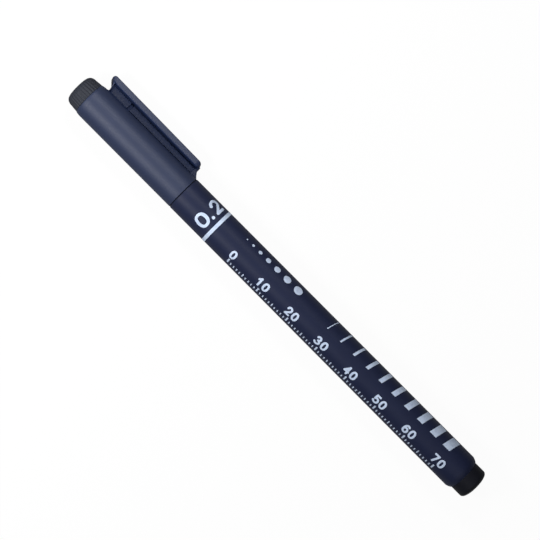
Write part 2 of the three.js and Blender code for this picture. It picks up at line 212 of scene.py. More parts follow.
@dataclass(frozen=True)
class MouldedPlastic:
    """A polyolefin moulding. Its mould's grain breaks up the light, and its dye varies a little. Where asked,
    it gets painted shade in its recesses, by a lower reflection there.

    The grain of a spark-eroded mould is about 0.05 mm, too fine to show from arm's length, so it is
    drawn several times as coarse.
    """

    name: str
    colour: str
    ior: float = 1.49
    roughness: float = 0.5
    roughness_spread: float = 0.06
    grain_mm: float = 0.22
    grain_height_mm: float = 0.004
    grain_share: float = 0.4
    cloud_mm: float = 3.0
    cloud: float = 0.04
    reflection: float = 0.5
    sheen_through: float = 0.0
    # The next two fields paint shade into recesses: how much of the reflection is taken away there, and how
    # far the occlusion looks, in millimetres.
    recess_dulling: float = 0.0
    recess_mm: float = 5.0

    def recess(self, tree: bpy.types.NodeTree) -> Socket:
        """Paints shade into recesses by lowering the reflection where the moulding's own ambient occlusion
        finds it enclosed.

        Args:
            tree: The node tree.

        Returns:
            A socket with the full reflection on open surfaces and less in recesses, which is painted shade.
        """
        deep, open_air = 0.5, 0.98
        open_share = add_node(
            tree,
            "ShaderNodeAmbientOcclusion",
            {"samples": 12, "only_local": True, "Distance": self.recess_mm * MM},
        )
        level = add_node(
            tree,
            "ShaderNodeMapRange",
            {
                "From Min": deep,
                "From Max": open_air,
                "To Min": self.reflection * (1 - self.recess_dulling),
                "To Max": self.reflection,
            },
            {"Value": open_share.outputs["AO"]},
        )
        return level.outputs["Result"]

    def build(self) -> bpy.types.Material:
        """Makes the material.

        Returns:
            The material.
        """
        material, tree, output = new_material(self.name)
        place = surface_millimetres(tree)
        grain, cloud = (
            add_node(tree, "ShaderNodeTexNoise", {"Scale": 1 / size, "Detail": detail}, {"Vector": place})
            for size, detail in ((self.grain_mm, 3.0), (self.cloud_mm, 2.0))
        )
        blend = add_node(
            tree,
            "ShaderNodeMix",
            {"data_type": "FLOAT", 0: self.grain_share},
            {2: cloud.outputs["Fac"], 3: grain.outputs["Fac"]},
        )
        base = linear(self.colour)
        darker, lighter = (
            tuple(c * share for c in base[:3]) + (1.0,) for share in (1 - self.cloud, 1 + self.cloud)
        )
        dye_low, dye_high = 0.36, 0.64
        dye = add_node(
            tree,
            "ShaderNodeValToRGB",
            {"stops": ((dye_low, darker), (dye_high, lighter))},
            {"Fac": blend.outputs[0]},
        )
        grain_low, grain_high = 0.3, 0.7
        rough = add_node(
            tree,
            "ShaderNodeMapRange",
            {
                "From Min": grain_low,
                "From Max": grain_high,
                "To Min": self.roughness - self.roughness_spread,
                "To Max": self.roughness + self.roughness_spread,
            },
            {"Value": grain.outputs["Fac"]},
        )
        shader = close_material(
            tree,
            output,
            (grain, self.grain_height_mm),
            {
                "IOR": self.ior,
                "Specular IOR Level": self.reflection,
                "Subsurface Weight": self.sheen_through,
                "Subsurface Scale": MM,
            },
            {"Base Color": dye.outputs["Color"], "Roughness": rough.outputs["Result"]},
        )
        # Painted shade: the reflection drops where the moulding is enclosed.
        if self.recess_dulling:
            tree.links.new(self.recess(tree), shader.inputs["Specular IOR Level"])
        return material


@dataclass(frozen=True)
class WorkedSurface:
    """A surface with one fine pattern, which shows in its relief and in its gloss or its tone.

    The pattern is lines, threads or wrinkles along the pen where its stretch is below 1, and patches
    otherwise. A second colour gives it two tones, and a second roughness gives it uneven gloss.
    """

    name: str
    colour: str
    pattern_mm: float
    height_mm: float
    roughness: float
    second_roughness: float | None = None
    second_colour: str | None = None
    stops: tuple[float, float] = (0.0, 1.0)
    stretch: float = 1.0
    detail: float = 2.0
    ior: float = 1.5
    metallic: float = 0.0
    transmission: float = 0.0

    def build(self) -> bpy.types.Material:
        """Makes the material.

        Returns:
            The material.
        """
        material, tree, output = new_material(self.name)
        pattern = add_node(
            tree,
            "ShaderNodeTexNoise",
            {"Scale": 1 / self.pattern_mm, "Detail": self.detail},
            {"Vector": surface_millimetres(tree, (self.stretch, 1, 1))},
        )
        links: dict[str | int, Socket] = {}
        if self.second_colour:
            tones = tuple(zip(self.stops, (linear(self.colour), linear(self.second_colour))))
            tone = add_node(tree, "ShaderNodeValToRGB", {"stops": tones}, {"Fac": pattern.outputs["Fac"]})
            links["Base Color"] = tone.outputs["Color"]
        if self.second_roughness:
            span = {"To Min": self.roughness, "To Max": self.second_roughness}
            gloss = add_node(tree, "ShaderNodeMapRange", span, {"Value": pattern.outputs["Fac"]})
            links["Roughness"] = gloss.outputs["Result"]
        settings: dict[str | int, Any] = {
            "Base Color": linear(self.colour),
            "Roughness": self.roughness,
            "IOR": self.ior,
            "Metallic": self.metallic,
            "Transmission Weight": self.transmission,
        }
        close_material(tree, output, (pattern, self.height_mm), settings, links)
        return material


class Finish(Enum):
    """Every finish on the pen."""

    # A spark-eroded mould leaves the cap satin: soft broad highlights, no mirror images. Its reflection is
    # cut in the recesses by the clip, which paints shade there.
    CAP = MouldedPlastic(
        "spark_eroded_moulded_polypropylene", "#202c4c", roughness=0.57, reflection=0.6, recess_dulling=0.9
    )
    # A finer mould leaves the barrel smoother, so that it takes narrower highlights and looks darker
    BARREL = MouldedPlastic(
        "fine_moulded_polypropylene", "#1f2642", roughness=0.51, grain_height_mm=0.002, reflection=0.25
    )
    # Carbon-filled and ribbed: greyer, and matt on the ridges
    CROWN = MouldedPlastic("ribbed_moulded_polypropylene", "#2f323b", roughness=0.62, reflection=0.25)
    # Carbon black and smooth
    BLACK = MouldedPlastic(
        "black_moulded_polypropylene", "#1b1c24", roughness=0.5, grain_height_mm=0.002, reflection=0.14
    )
    # Undyed low-density polyethylene lets light in, so it looks waxy
    LINER = MouldedPlastic(
        "natural_moulded_polyethylene", "#d9dde0", ior=1.51, roughness=0.45, cloud=0.03, sheen_through=0.4
    )
    # Acetal, stained by the ink that it carries
    NIB = MouldedPlastic("ink_stained_extruded_acetal", "#202126", ior=1.48, grain_mm=0.08)
    # Drawn and tumbled: bright, with fine lines along it that streak its reflections
    STEEL = WorkedSurface(
        "drawn_stainless_steel",
        "#c9cbce",
        pattern_mm=0.05,
        height_mm=0.0008,
        roughness=0.16,
        second_roughness=0.32,
        stretch=0.04,
        metallic=1.0,
    )
    # Polyester fibre, bundled lengthways and soaked with ink: dull, with a thread-like streak
    FIBRE = WorkedSurface(
        "ink_soaked_bonded_polyester_fibre",
        "#17171b",
        pattern_mm=0.09,
        height_mm=0.02,
        roughness=0.85,
        second_colour="#34353d",
        stops=(0.35, 0.75),
        stretch=0.03,
        detail=3.0,
        ior=1.57,
    )
    # Clear, with wrinkles along it that catch the light
    FILM = WorkedSurface(
        "rolled_polypropylene_film",
        "#dfe4e8",
        pattern_mm=2.2,
        height_mm=0.05,
        roughness=0.08,
        second_roughness=0.2,
        stretch=0.15,
        ior=1.49,
        transmission=0.8,
    )
    # A thin opaque film of ink, whose cover is a little uneven, so that its white is not quite flat
    PRINT = WorkedSurface(
        "pad_printed_two_part_ink",
        "#c6d6f2",
        pattern_mm=0.7,
        height_mm=0.003,
        roughness=0.42,
        second_colour="#d6e6ff",
        stops=(0.3, 0.55),
        detail=4.0,
    )


class Wardrobe:
    """The finishes as Blender materials, each made once."""

    def __init__(self) -> None:
        """Starts with nothing made."""
        self.made: dict[Finish, bpy.types.Material] = {}

    def get(self, finish: Finish) -> bpy.types.Material:
        """Gives a finish's material, and makes it the first time.

        Args:
            finish: The finish that is asked for.

        Returns:
            The material.
        """
        if finish not in self.made:
            self.made[finish] = finish.value.build()
        return self.made[finish]


# Where the pen lies


@dataclass(frozen=True)
class PenAxis:
    """The pen's own axis in the frame, in millimetres.

    A station is a distance along the axis, 0 at the face that the cap closes against and positive
    towards the crown. Out points from the axis to the clip, and side lies square to both.
    """

    mouth_x: float
    y: float
    z: float
    out: Vector
    side: Vector

    @classmethod
    def measured(cls, record: dict[str, Any]) -> PenAxis:
        """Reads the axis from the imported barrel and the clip's direction from its mount.

        Args:
            record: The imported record.

        Returns:
            The pen's axis.
        """
        barrel_setback = 0.35
        low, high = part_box("barrel")
        mount = next(m for m in record["mounts"] if m["name"] == "clip_outer_face")
        out = Vector((0.0, mount["axis"][1], mount["axis"][2])).normalized()
        return cls(
            mouth_x=low.x / MM - barrel_setback,
            y=(low.y + high.y) / 2 / MM,
            z=(low.z + high.z) / 2 / MM,
            out=out,
            side=Vector((0.0, -out.z, out.y)),
        )

    def place(self, out: float, side: float, station: float) -> Vector:
        """Turns a place on the pen into the frame.

        Args:
            out: Millimetres towards the clip.
            side: Millimetres to the side.
            station: Millimetres along the axis.

        Returns:
            The place in metres.
        """
        centre = Vector((self.mouth_x - station, self.y, self.z))
        return (centre + self.out * out + self.side * side) * MM

    def on_barrel(self, x: float, arc: float, radius: float) -> Vector:
        """Turns a place on a flat print into one on a round surface.

        Args:
            x: The frame's X in millimetres.
            arc: Millimetres round the surface from its top, positive towards +Y.
            radius: The surface's radius there.

        Returns:
            The place in metres.
        """
        print_radius = 4.7
        angle = arc / print_radius
        return Vector((x, self.y + radius * math.sin(angle), self.z + radius * math.cos(angle))) * MM


# Outlines and meshes


class Profile:
    """An outline in radius and station, drawn corner by corner."""

    def __init__(self) -> None:
        """Starts an empty outline."""
        self.corners: list[tuple[Vector, float]] = []

    def to(self, radius: float, station: float, fillet: float = 0.0) -> Profile:
        """Draws on to a corner.

        Args:
            radius: The corner's radius.
            station: The corner's station.
            fillet: The radius that rounds the corner.

        Returns:
            The outline itself.
        """
        self.corners.append((Vector((radius, station)), fillet))
        return self

    def bend(self, pull: Point, end: Point, steps: int = 10) -> Profile:
        """Draws a curve from the last corner.

        Args:
            pull: The point that the curve is drawn towards.
            end: The curve's end.
            steps: How many straight pieces the curve gets.

        Returns:
            The outline itself.
        """
        start = self.corners[-1][0]
        for i in range(1, steps + 1):
            t = i / steps
            spot = start * (1 - t) ** 2 + Vector(pull) * (2 * t * (1 - t)) + Vector(end) * t**2
            self.to(spot.x, spot.y)
        return self

    def points(self, longest: float = 2.0) -> list[Point]:
        """Rounds the corners and splits long lines.

        Args:
            longest: The longest piece of line that is left.

        Returns:
            The outline's points.
        """
        round_points: list[Vector] = []
        count = len(self.corners)
        for i, (here, fillet) in enumerate(self.corners):
            if fillet <= 0:
                round_points.append(here)
                continue
            before, after = self.corners[i - 1][0], self.corners[(i + 1) % count][0]
            round_points += corner_arc(before, here, after, fillet)
        closed = not (round_points[0].x < TINY and round_points[-1].x < TINY)
        last = len(round_points) if closed else len(round_points) - 1
        split: list[Point] = []
        for i in range(last):
            here, after = round_points[i], round_points[(i + 1) % len(round_points)]
            pieces = max(1, math.ceil((after - here).length / longest))
            split += [tuple(here.lerp(after, k / pieces)) for k in range(pieces)]
        if not closed:
            split.append(tuple(round_points[-1]))
        return split


def corner_arc(before: Vector, corner: Vector, after: Vector, fillet: float) -> list[Vector]:
    """Rounds one corner of an outline.

    Args:
        before: The point before the corner.
        corner: The corner.
        after: The point after it.
        fillet: The rounding radius.

    Returns:
        The arc's points, in order.
    """
    step = math.radians(12)
    share_of_side = 0.49
    back, on = (before - corner), (after - corner)
    room = share_of_side * min(back.length, on.length)
    back.normalize()
    on.normalize()
    opening = back.angle(on)
    setback = min(fillet / math.tan(opening / 2), room)
    radius = setback * math.tan(opening / 2)
    centre = corner + (back + on).normalized() * (radius / math.sin(opening / 2))
    first, final = corner + back * setback - centre, corner + on * setback - centre
    steps = max(2, math.ceil((math.pi - opening) / step))
    turn = first.angle_signed(final)
    arc = []
    for i in range(steps + 1):
        c, s = math.cos(-turn * i / steps), math.sin(-turn * i / steps)
        arc.append(centre + Vector((first.x * c - first.y * s, first.x * s + first.y * c)))
    return arc


def new_object(name: str, data: bpy.types.ID) -> bpy.types.Object:
    """Puts a mesh, a lamp or a camera in the scene.

    Args:
        name: The object's name.
        data: The mesh, lamp or camera.

    Returns:
        The object.
    """
    made = bpy.data.objects.new(name, data)
    bpy.context.scene.collection.objects.link(made)
    return made


def closed_solid(name: str, work: bmesh.types.BMesh) -> bpy.types.Object:
    """Turns a worked mesh's faces outwards and puts it in the scene.

    Args:
        name: The object's name.
        work: The worked mesh, which is used up.

    Returns:
        The object.
    """
    bmesh.ops.recalc_face_normals(work, faces=work.faces)
    mesh = bpy.data.meshes.new(name)
    work.to_mesh(mesh)
    work.free()
    return new_object(name, mesh)


def from_rings(name: str, rings: Sequence[Sequence[Vector]], loop: bool = False) -> bpy.types.Object:
    """Skins a row of closed rings into one closed solid.

    Args:
        name: The object's name.
        rings: Rings of equally many points, or of a single point where the solid comes to a point.
        loop: Whether the last ring joins the first, and otherwise both ends are closed.

    Returns:
        The solid.
    """
    work = bmesh.new()
    made = [[work.verts.new(spot) for spot in ring] for ring in rings]
    pairs = list(zip(made, made[1:]))
    if loop:
        pairs.append((made[-1], made[0]))
    for one, two in pairs:
        count = max(len(one), len(two))
        for i in range(count):
            j = (i + 1) % count
            face = [one[i % len(one)], one[j % len(one)], two[j % len(two)], two[i % len(two)]]
            work.faces.new(list(dict.fromkeys(face)))
    if not loop:
        for ring in (made[0], made[-1]):
            if len(ring) > 2:
                work.faces.new(ring)
    return closed_solid(name, work)


def revolve(
    name: str,
    axis: PenAxis,
    points: Sequence[Point],
    sides: int = 192,
    shape: Callable[[float, float, float], float] | None = None,
) -> bpy.types.Object:
    """Turns an outline about the pen's axis.

    Args:
        name: The object's name.
        axis: The pen's axis.
        points: The outline in radius and station. One that leaves the axis alone is closed on itself.
        sides: How many sides the turned solid gets.
        shape: Gives a point's new radius from its radius, station and angle.

    Returns:
        The turned solid.
    """
    rings = []
    for radius, station in points:
        if radius < TINY:
            rings.append([axis.place(0, 0, station)])
            continue
        ring = []
        for i in range(sides):
            angle = 2 * math.pi * i / sides
            reach = shape(radius, station, angle) if shape else radius
            ring.append(axis.place(reach * math.cos(angle), reach * math.sin(angle), station))
        rings.append(ring)
    on_axis = points[0][0] < TINY and points[-1][0] < TINY
    return from_rings(name, rings, loop=not on_axis)


class Join(Enum):
    """How one solid changes another."""

    ADD = "UNION"
    CUT = "DIFFERENCE"


def combine(body: bpy.types.Object, how: Join, tools: Iterable[bpy.types.Object]) -> None:
    """Joins solids to a body or cuts them from it, and removes them.

    Args:
        body: The solid that is changed.
        how: Whether the others are added or cut away.
        tools: The other solids.
    """
    for tool in tools:
        change = body.modifiers.new("change", "BOOLEAN")
        change.operation = how.value
        change.solver = "MANIFOLD"
        change.object = tool
        bake(body)
        bpy.data.objects.remove(tool)


def bake(piece: bpy.types.Object) -> None:
    """Makes a piece's modifiers part of its mesh.

    Args:
        piece: The piece whose modifiers are applied.
    """
    shown = piece.evaluated_get(bpy.context.evaluated_depsgraph_get())
    mesh = bpy.data.meshes.new_from_object(shown)
    mesh.name = piece.name
    piece.modifiers.clear()
    piece.data = mesh


def soften(piece: bpy.types.Object, crease_degrees: float = 32.0) -> None:
    """Shades a piece smoothly, with hard lines only where it has corners.

    Args:
        piece: The piece to shade.
        crease_degrees: The angle from which an edge counts as a corner.
    """
    same_place = 1e-4 * MM
    work = bmesh.new()
    work.from_mesh(piece.data)
    bmesh.ops.remove_doubles(work, verts=work.verts, dist=same_place)
    limit = math.radians(crease_degrees)
    for edge in work.edges:
        edge.smooth = edge.calc_face_angle(0) < limit
    for face in work.faces:
        face.smooth = True
    work.to_mesh(piece.data)
    work.free()
    weight = piece.modifiers.new("weight", "WEIGHTED_NORMAL")
    weight.keep_sharp = True
    bake(piece)


def fit(
    piece: bpy.types.Object, body: Body, slot: Slot, material: bpy.types.Material, *nodes: str
) -> None:
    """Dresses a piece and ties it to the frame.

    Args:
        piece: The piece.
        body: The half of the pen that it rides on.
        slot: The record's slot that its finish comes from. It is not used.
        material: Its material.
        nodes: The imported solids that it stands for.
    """
    piece.data.materials.clear()
    piece.data.materials.append(material)
    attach(piece, body.value)
    if nodes:
        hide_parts(*nodes)
    LOG.info("%s: %d faces, on %s", piece.name, len(piece.data.polygons), body.value)


class TurnedPiece:
    """A piece that is turned about the pen's axis. Its class gives the outline and what is joined on.

    Its class also says what the piece is called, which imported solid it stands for, which half of the
    pen it rides on, its slot and finish, how finely it is turned, and which edges stay sharp.
    """

    name: ClassVar[str]
    node: ClassVar[str]
    body: ClassVar[Body] = Body.PEN
    slot: ClassVar[Slot] = Slot.BLACK
    finish: ClassVar[Finish] = Finish.BLACK
    longest: ClassVar[float] = 1.0
    sides: ClassVar[int] = 192
    crease_degrees: ClassVar[float] = 32.0
    how: ClassVar[Join] = Join.ADD

    def outline(self) -> Profile:
        """Draws the outline that is turned."""
        raise NotImplementedError

    def shape(self, radius: float, station: float, angle: float) -> float:
        """Gives a point's radius once the piece is shaped. A plain piece keeps its turned radius."""
        return radius

    def others(self, axis: PenAxis) -> list[bpy.types.Object]:
        """Makes the solids that are joined to the turned one or cut from it."""
        return []

    def build(self, axis: PenAxis, wardrobe: Wardrobe) -> None:
        """Builds the piece, dresses it and ties it to the frame.

        Args:
            axis: The pen's axis.
            wardrobe: The finishes.
        """
        piece = revolve(self.name, axis, self.outline().points(self.longest), self.sides, self.shape)
        combine(piece, self.how, self.others(axis))
        soften(piece, self.crease_degrees)
        fit(piece, self.body, self.slot, wardrobe.get(self.finish), self.node)


class Assembly:
    """Pieces that stay together. They are built in the order in which the fields name them."""

    def build(self, axis: PenAxis, wardrobe: Wardrobe) -> None:
        """Builds and dresses each piece.

        Args:
            axis: The pen's axis.
            wardrobe: The finishes.
        """
        for part in fields(self):
            getattr(self, part.name).build(axis, wardrobe)


# The cap


@dataclass
class Clip:
    """The pocket clip: a plate with rounded edges, its end wall, root block, thin web, rib and foot."""

    cap_radius: float
    sunk_to: float
    width: float = 4.4
    thickness: float = 1.6
    thinnest: float = 0.06
    root_out: float = 8.47
    tip_out: float = 8.15
    top: float = 32.08
    tip: float = 1.55
    tip_corner: float = 1.6
    top_corner: float = 0.75
    tip_drop: float = 1.0
    edge: float = 0.3
    end_edge: float = 0.22
    heel: float = 30.95
    heel_slope: float = 0.9
    toe: float = 2.45
    toe_slope: float = 0.5
    wall_width: float = 3.2
    wall_foot: float = 30.42
    wall_head: float = 31.0
    wall_base: float = 0.25
    wall_curve: float = 1.15
    wall_thin: float = 0.3
    wall_thick: float = 0.38
    wall_fillet: float = 0.35
    block_width: float = 1.7
    block_toe: float = 24.27
    block_fillet: float = 0.25
    web_width: float = 0.8
    rib_width: float = 1.2
    rib_span: tuple[float, float] = (2.2, 23.47)
    rib_gap: float = 0.2
    foot_width: float = 1.6
    foot_front: float = 0.08
    foot_back: float = 2.37
    foot_curve: float = 0.8
    foot_corner: float = 0.25
    foot_sink: float = 0.3
    saddle_gap: float = 0.06
    overlap: float = 0.1

    def outer(self, station: float) -> float:
        """Gives how far out the plate's outer face lies at a station."""
        share = (station - self.tip) / (self.top - self.tip)
        return self.tip_out + (self.root_out - self.tip_out) * share

    def under(self, station: float) -> float:
        """Gives how far out the plate's underside lies at a station."""
        return self.outer(station) - self.thickness

    def plate(self, axis: PenAxis) -> bpy.types.Object:
        """Lofts the plate from rounded sections, drawn in at both ends.

        Args:
            axis: The pen's axis.

        Returns:
            The plate.
        """
        steps, spans, edge_share = 14, 20, 0.8
        eased = [1 - math.cos(i / steps * math.pi / 2) for i in range(steps + 1)]
        near_tip = [self.tip + self.tip_corner * share for share in eased]
        near_top = [self.top - self.top_corner * share for share in eased]
        first, last = near_tip[-1], near_top[-1]
        middle = [first + (last - first) * i / spans for i in range(1, spans)]
        rings = []
        for station in near_tip + middle + near_top[::-1]:
            from_tip, from_top = station - self.tip, self.top - station
            inset = quarter(from_tip, self.end_edge) + quarter(from_top, self.end_edge)
            top_drop = quarter(from_top, self.top_corner)
            half = self.width / 2 - quarter(from_tip, self.tip_corner) - top_drop - inset
            upper = self.outer(station) - quarter(from_tip, self.tip_drop) - top_drop
            lower = self.under(station) + max(station - self.heel, 0.0) * self.heel_slope
            lower += max(self.toe - station, 0.0) * self.toe_slope
            middle_out = (upper + lower) / 2
            half_out = max((upper - lower) / 2 - inset, self.thinnest / 2)
            section = rounded_rectangle(half_out, half, min(self.edge, half_out * edge_share))
            rings.append([axis.place(middle_out + spot.x, spot.y, station) for spot, _ in section])
        return from_rings("clip_plate", rings)

    def column(
        self,
        axis: PenAxis,
        width: float,
        toe: Callable[[float], float],
        heel: Callable[[float], float],
        low: float,
        corner: float = 0.12,
        root_fillet: float = 0.0,
    ) -> bpy.types.Object:
        """Lofts a wall that rises from the cap to the plate, with moulded fillets where it meets them.

        Args:
            axis: The pen's axis.
            width: The wall's width.
            toe: Gives the station of the wall's face towards the cap's mouth, from how far out it is.
            heel: Gives the station of its face towards the crown.
            low: How far out the wall starts.
            corner: The radius of its upright edges.
            root_fillet: The fillet's radius where it meets the cap tube.

        Returns:
            The wall.
        """
        step, head_fillet = 0.07, 0.2
        high = self.under((toe(self.tip_out) + heel(self.tip_out)) / 2) + self.thickness / 2
        levels = math.ceil((high - low) / step)
        rings = []
        for i in range(levels + 1):
            out = low + (high - low) * i / levels
            first, last = toe(out), heel(out)
            centre, half_length = (first + last) / 2, (last - first) / 2
            below_plate = max(self.under(centre) - out, 0.0)
            ring = []
            for spot, away in rounded_rectangle(width / 2, half_length, corner):
                above_tube = max(math.hypot(out, spot.x) - self.cap_radius, 0.0)
                spread = quarter(above_tube, root_fillet) + quarter(below_plate, head_fillet)
                ring.append(axis.place(out, spot.x + away.x * spread, centre + spot.y + away.y * spread))
            rings.append(ring)
        return from_rings("clip_wall", rings)

    def wall_climb(self, out: float) -> float:
        """Gives how far up the end wall is, from 0 near the tube to 1 under the plate."""
        return climb(out, self.cap_radius + self.wall_base, self.under(self.top))

    def wall_heel(self, out: float) -> float:
        """Gives the end wall's outer face, which is slightly hollow and leans most under the plate."""
        return self.wall_foot + (self.wall_head - self.wall_foot) * self.wall_climb(out) ** self.wall_curve

    def wall_toe(self, out: float) -> float:
        """Gives the end wall's inner face: the wall gets thicker towards the plate."""
        added = (self.wall_thick - self.wall_thin) * self.wall_climb(out)
        return self.wall_heel(out) - self.wall_thin - added

    def foot_toe(self, out: float) -> float:
        """Gives the foot's front, which slopes from the plate's tip down to the cap's mouth."""
        rise = climb(out, self.cap_radius, self.under(self.tip))
        return self.foot_front + (self.tip + self.thinnest / 2 - self.foot_front) * rise**self.foot_curve

    def build(self, axis: PenAxis) -> list[bpy.types.Object]:
        """Builds the clip's solids, which overlap each other and the cap tube.

        Args:
            axis: The pen's axis.

        Returns:
            The plate, end wall, root block, web, rib and foot.
        """
        wall = self.column(
            axis, self.wall_width, self.wall_toe, self.wall_heel, self.sunk_to, root_fillet=self.wall_fillet
        )
        block = self.column(
            axis,
            self.block_width,
            lambda out: self.block_toe,
            lambda out: self.wall_toe(out) + self.overlap,
            self.sunk_to,
            root_fillet=self.block_fillet,
        )
        rib_front, rib_back = self.rib_span
        web = self.column(
            axis,
            self.web_width,
            lambda out: rib_back - self.overlap,
            lambda out: self.block_toe + self.overlap,
            self.sunk_to,
            corner=0.02,
        )
        rib = self.column(
            axis,
            self.rib_width,
            lambda out: rib_front,
            lambda out: rib_back,
            self.cap_radius + self.rib_gap,
            corner=0.1,
        )
        foot = self.column(
            axis,
            self.foot_width,
            self.foot_toe,
            lambda out: self.foot_back,
            self.cap_radius - self.foot_sink,
            corner=self.foot_corner,
        )
        reach, before, behind = self.cap_radius + self.saddle_gap, -3, 6
        saddle = Profile().to(0, before).to(reach, before).to(reach, behind).to(0, behind)
        combine(foot, Join.CUT, [revolve("clip_saddle", axis, saddle.points())])
        return [self.plate(axis), wall, block, web, rib, foot]


def climb(out: float, start: float, end: float) -> float:
    """Gives how far up a face has come, from 0 at its start to 1 at its end."""
    return min(max((out - start) / (end - start), 0.0), 1.0)


def quarter(distance: float, radius: float) -> float:
    """Gives how far a quarter circle has still to fall at a distance from where it starts.

    Args:
        distance: The distance from the circle's steep end.
        radius: The circle's radius.

    Returns:
        The radius at distance 0, and 0 from the radius on.
    """
    if distance >= radius or radius <= 0:
        return 0.0
    return radius - math.sqrt(radius**2 - (radius - distance) ** 2)


def rounded_rectangle(
    half_x: float, half_y: float, corner: float, steps: int = 5
) -> list[tuple[Vector, Vector]]:
    """Draws a rectangle with rounded corners.

    Args:
        half_x: Half its first side.
        half_y: Half its second side.
        corner: Its corners' radius.
        steps: How many straight pieces a corner gets.

    Returns:
        Its points, each with the direction that faces outwards there.
    """
    corner = min(corner, half_x, half_y)
    spots = []
    for i, (sign_x, sign_y) in enumerate(((1, 1), (-1, 1), (-1, -1), (1, -1))):
        centre = Vector((sign_x * (half_x - corner), sign_y * (half_y - corner)))
        for k in range(steps + 1):
            angle = math.pi / 2 * (i + k / steps)
            away = Vector((math.cos(angle), math.sin(angle)))
            spots.append((centre + away * corner, away))
    return spots


@dataclass
class CapShell(TurnedPiece):
    """The cap tube and its clip, one moulding."""

    name = "cap_shell_moulding"
    node = "cap_shell"
    body = Body.CAP
    slot = Slot.CAP
    finish = Finish.CAP
    longest = 1.2

    radius: float = 4.67
    bore: float = 3.95
    upper_bore: float = 3.70
    rim_radius: float = 4.46
    mouth: float = 0.05
    top: float = 32.28
    shoulder: float = 1.6
    ledge: float = 9.1
    ledge_height: float = 0.8
    ledge_depth: float = 0.35
    bead: float = 5.6
    bead_half: float = 0.7
    bead_pull: float = 0.24
    edge: float = 0.1
    clip_in_wall: float = 0.1

    def outline(self) -> Profile:
        """Draws the tube, with the snap groove and the liner's ledge inside.

        Returns:
            The outline.
        """
        ledge_bore, ledge_top = self.upper_bore - self.ledge_depth, self.ledge + self.ledge_height
        return (
            Profile()
            .to(self.bore, self.mouth, self.edge)
            .to(self.radius, self.mouth, self.edge)
            .to(self.radius, self.top - self.shoulder)
            .bend((self.radius, self.top - self.shoulder / 3), (self.rim_radius, self.top - self.edge / 2))
            .to(self.rim_radius - self.edge / 2, self.top)
            .to(self.upper_bore, self.top, self.edge)
            .to(self.upper_bore, ledge_top)
            .to(ledge_bore, ledge_top, self.edge)
            .to(ledge_bore, self.ledge, self.edge)
            .to(self.bore, self.ledge)
            .to(self.bore, self.bead + self.bead_half)
            .bend((self.bore + self.bead_pull, self.bead), (self.bore, self.bead - self.bead_half))
        )

    def others(self, axis: PenAxis) -> list[bpy.types.Object]:
        """Makes the clip's solids, which are joined on."""
        return Clip(cap_radius=self.radius, sunk_to=self.bore + self.clip_in_wall).build(axis)


@dataclass
class Crown(TurnedPiece):
    """The ribbed end piece of the cap, on the spigot that is pressed into the tube."""

    name = "crown_moulding"
    node = "cap_crown"
    body = Body.CAP
    slot = Slot.CROWN
    finish = Finish.CROWN
    longest = 0.8
    sides = 384  # 12 for each rib
    crease_degrees = 50.0

    seat: float = 32.3
    top: float = 36.2
    base_radius: float = 4.45
    top_radius: float = 4.27
    edge_radius: float = 2.1
    edge: float = 0.1
    ribs: int = 32
    rib_depth: float = 0.16
    groove_sharpness: float = 2.2
    spigot_end: float = 28.0
    spigot_radius: float = 3.68
    spigot_hollow: float = 2.68
    ceiling: float = 35.0
    ceiling_curve: float = 1.2

    def shape(self, radius: float, station: float, angle: float) -> float:
        """Cuts the grooves between the ribs, which fade out on the flat end.

        Args:
            radius: The turned radius.
            station: The station.
            angle: The angle round the axis.

        Returns:
            The radius with the groove taken off.
        """
        flat = self.top_radius - self.edge_radius
        inside = station < self.ceiling and radius < (self.spigot_hollow + self.spigot_radius) / 2
        if inside or station < self.seat or radius <= flat:
            return radius
        fade = min((radius - flat) / self.edge_radius, 1.0)
        wave = 0.5 - 0.5 * math.cos(self.ribs * angle)
        return radius - self.rib_depth * fade * wave**self.groove_sharpness

    def outline(self) -> Profile:
        """Draws the crown with its hollow spigot.

        Returns:
            The outline.
        """
        hollow, ceiling = self.spigot_hollow, self.ceiling
        return (
            Profile()
            .to(0, ceiling)
            .to(hollow - self.ceiling_curve, ceiling)
            .bend((hollow, ceiling), (hollow, ceiling - self.ceiling_curve))
            .to(hollow, self.spigot_end, self.edge)
            .to(self.spigot_radius, self.spigot_end, self.edge)
            .to(self.spigot_radius, self.seat)
            .to(self.base_radius, self.seat, self.edge)
            .to(self.top_radius, self.top - self.edge_radius)
            .bend((self.top_radius, self.top), (self.top_radius - self.edge_radius, self.top), steps=16)
            .to(0, self.top)
        )


@dataclass
class InnerCap(TurnedPiece):
    """The liner that seals on the front section."""

    name = "inner_cap_liner"
    node = "inner_cap"
    body = Body.CAP
    slot = Slot.LINER
    finish = Finish.LINER
    longest = 2.0

    mouth: float = 9.95
    top: float = 27.95
    radius: float = 3.68
    bore: float = 3.13
    lip_radius: float = 3.03
    lip_height: float = 1.0
    end_wall: float = 0.9
    edge: float = 0.12
    corner: float = 0.5

    def outline(self) -> Profile:
        """Draws the liner, closed at its end, with its sealing lip.

        Returns:
            The outline.
        """
        floor = self.top - self.end_wall
        return (
            Profile()
            .to(0, floor)
            .to(self.bore, floor, self.corner)
            .to(self.bore, self.mouth + 2 * self.lip_height)
            .to(self.lip_radius, self.mouth + self.lip_height, self.edge)
            .to(self.lip_radius, self.mouth, self.edge)
            .to(self.radius, self.mouth, self.edge)
            .to(self.radius, self.top, self.corner)
            .to(0, self.top)
        )


@dataclass
class CapAssembly(Assembly):
    """Everything that comes off with the cap."""

    shell: CapShell
    crown: Crown
    liner: InnerCap


# The barrel and what it holds


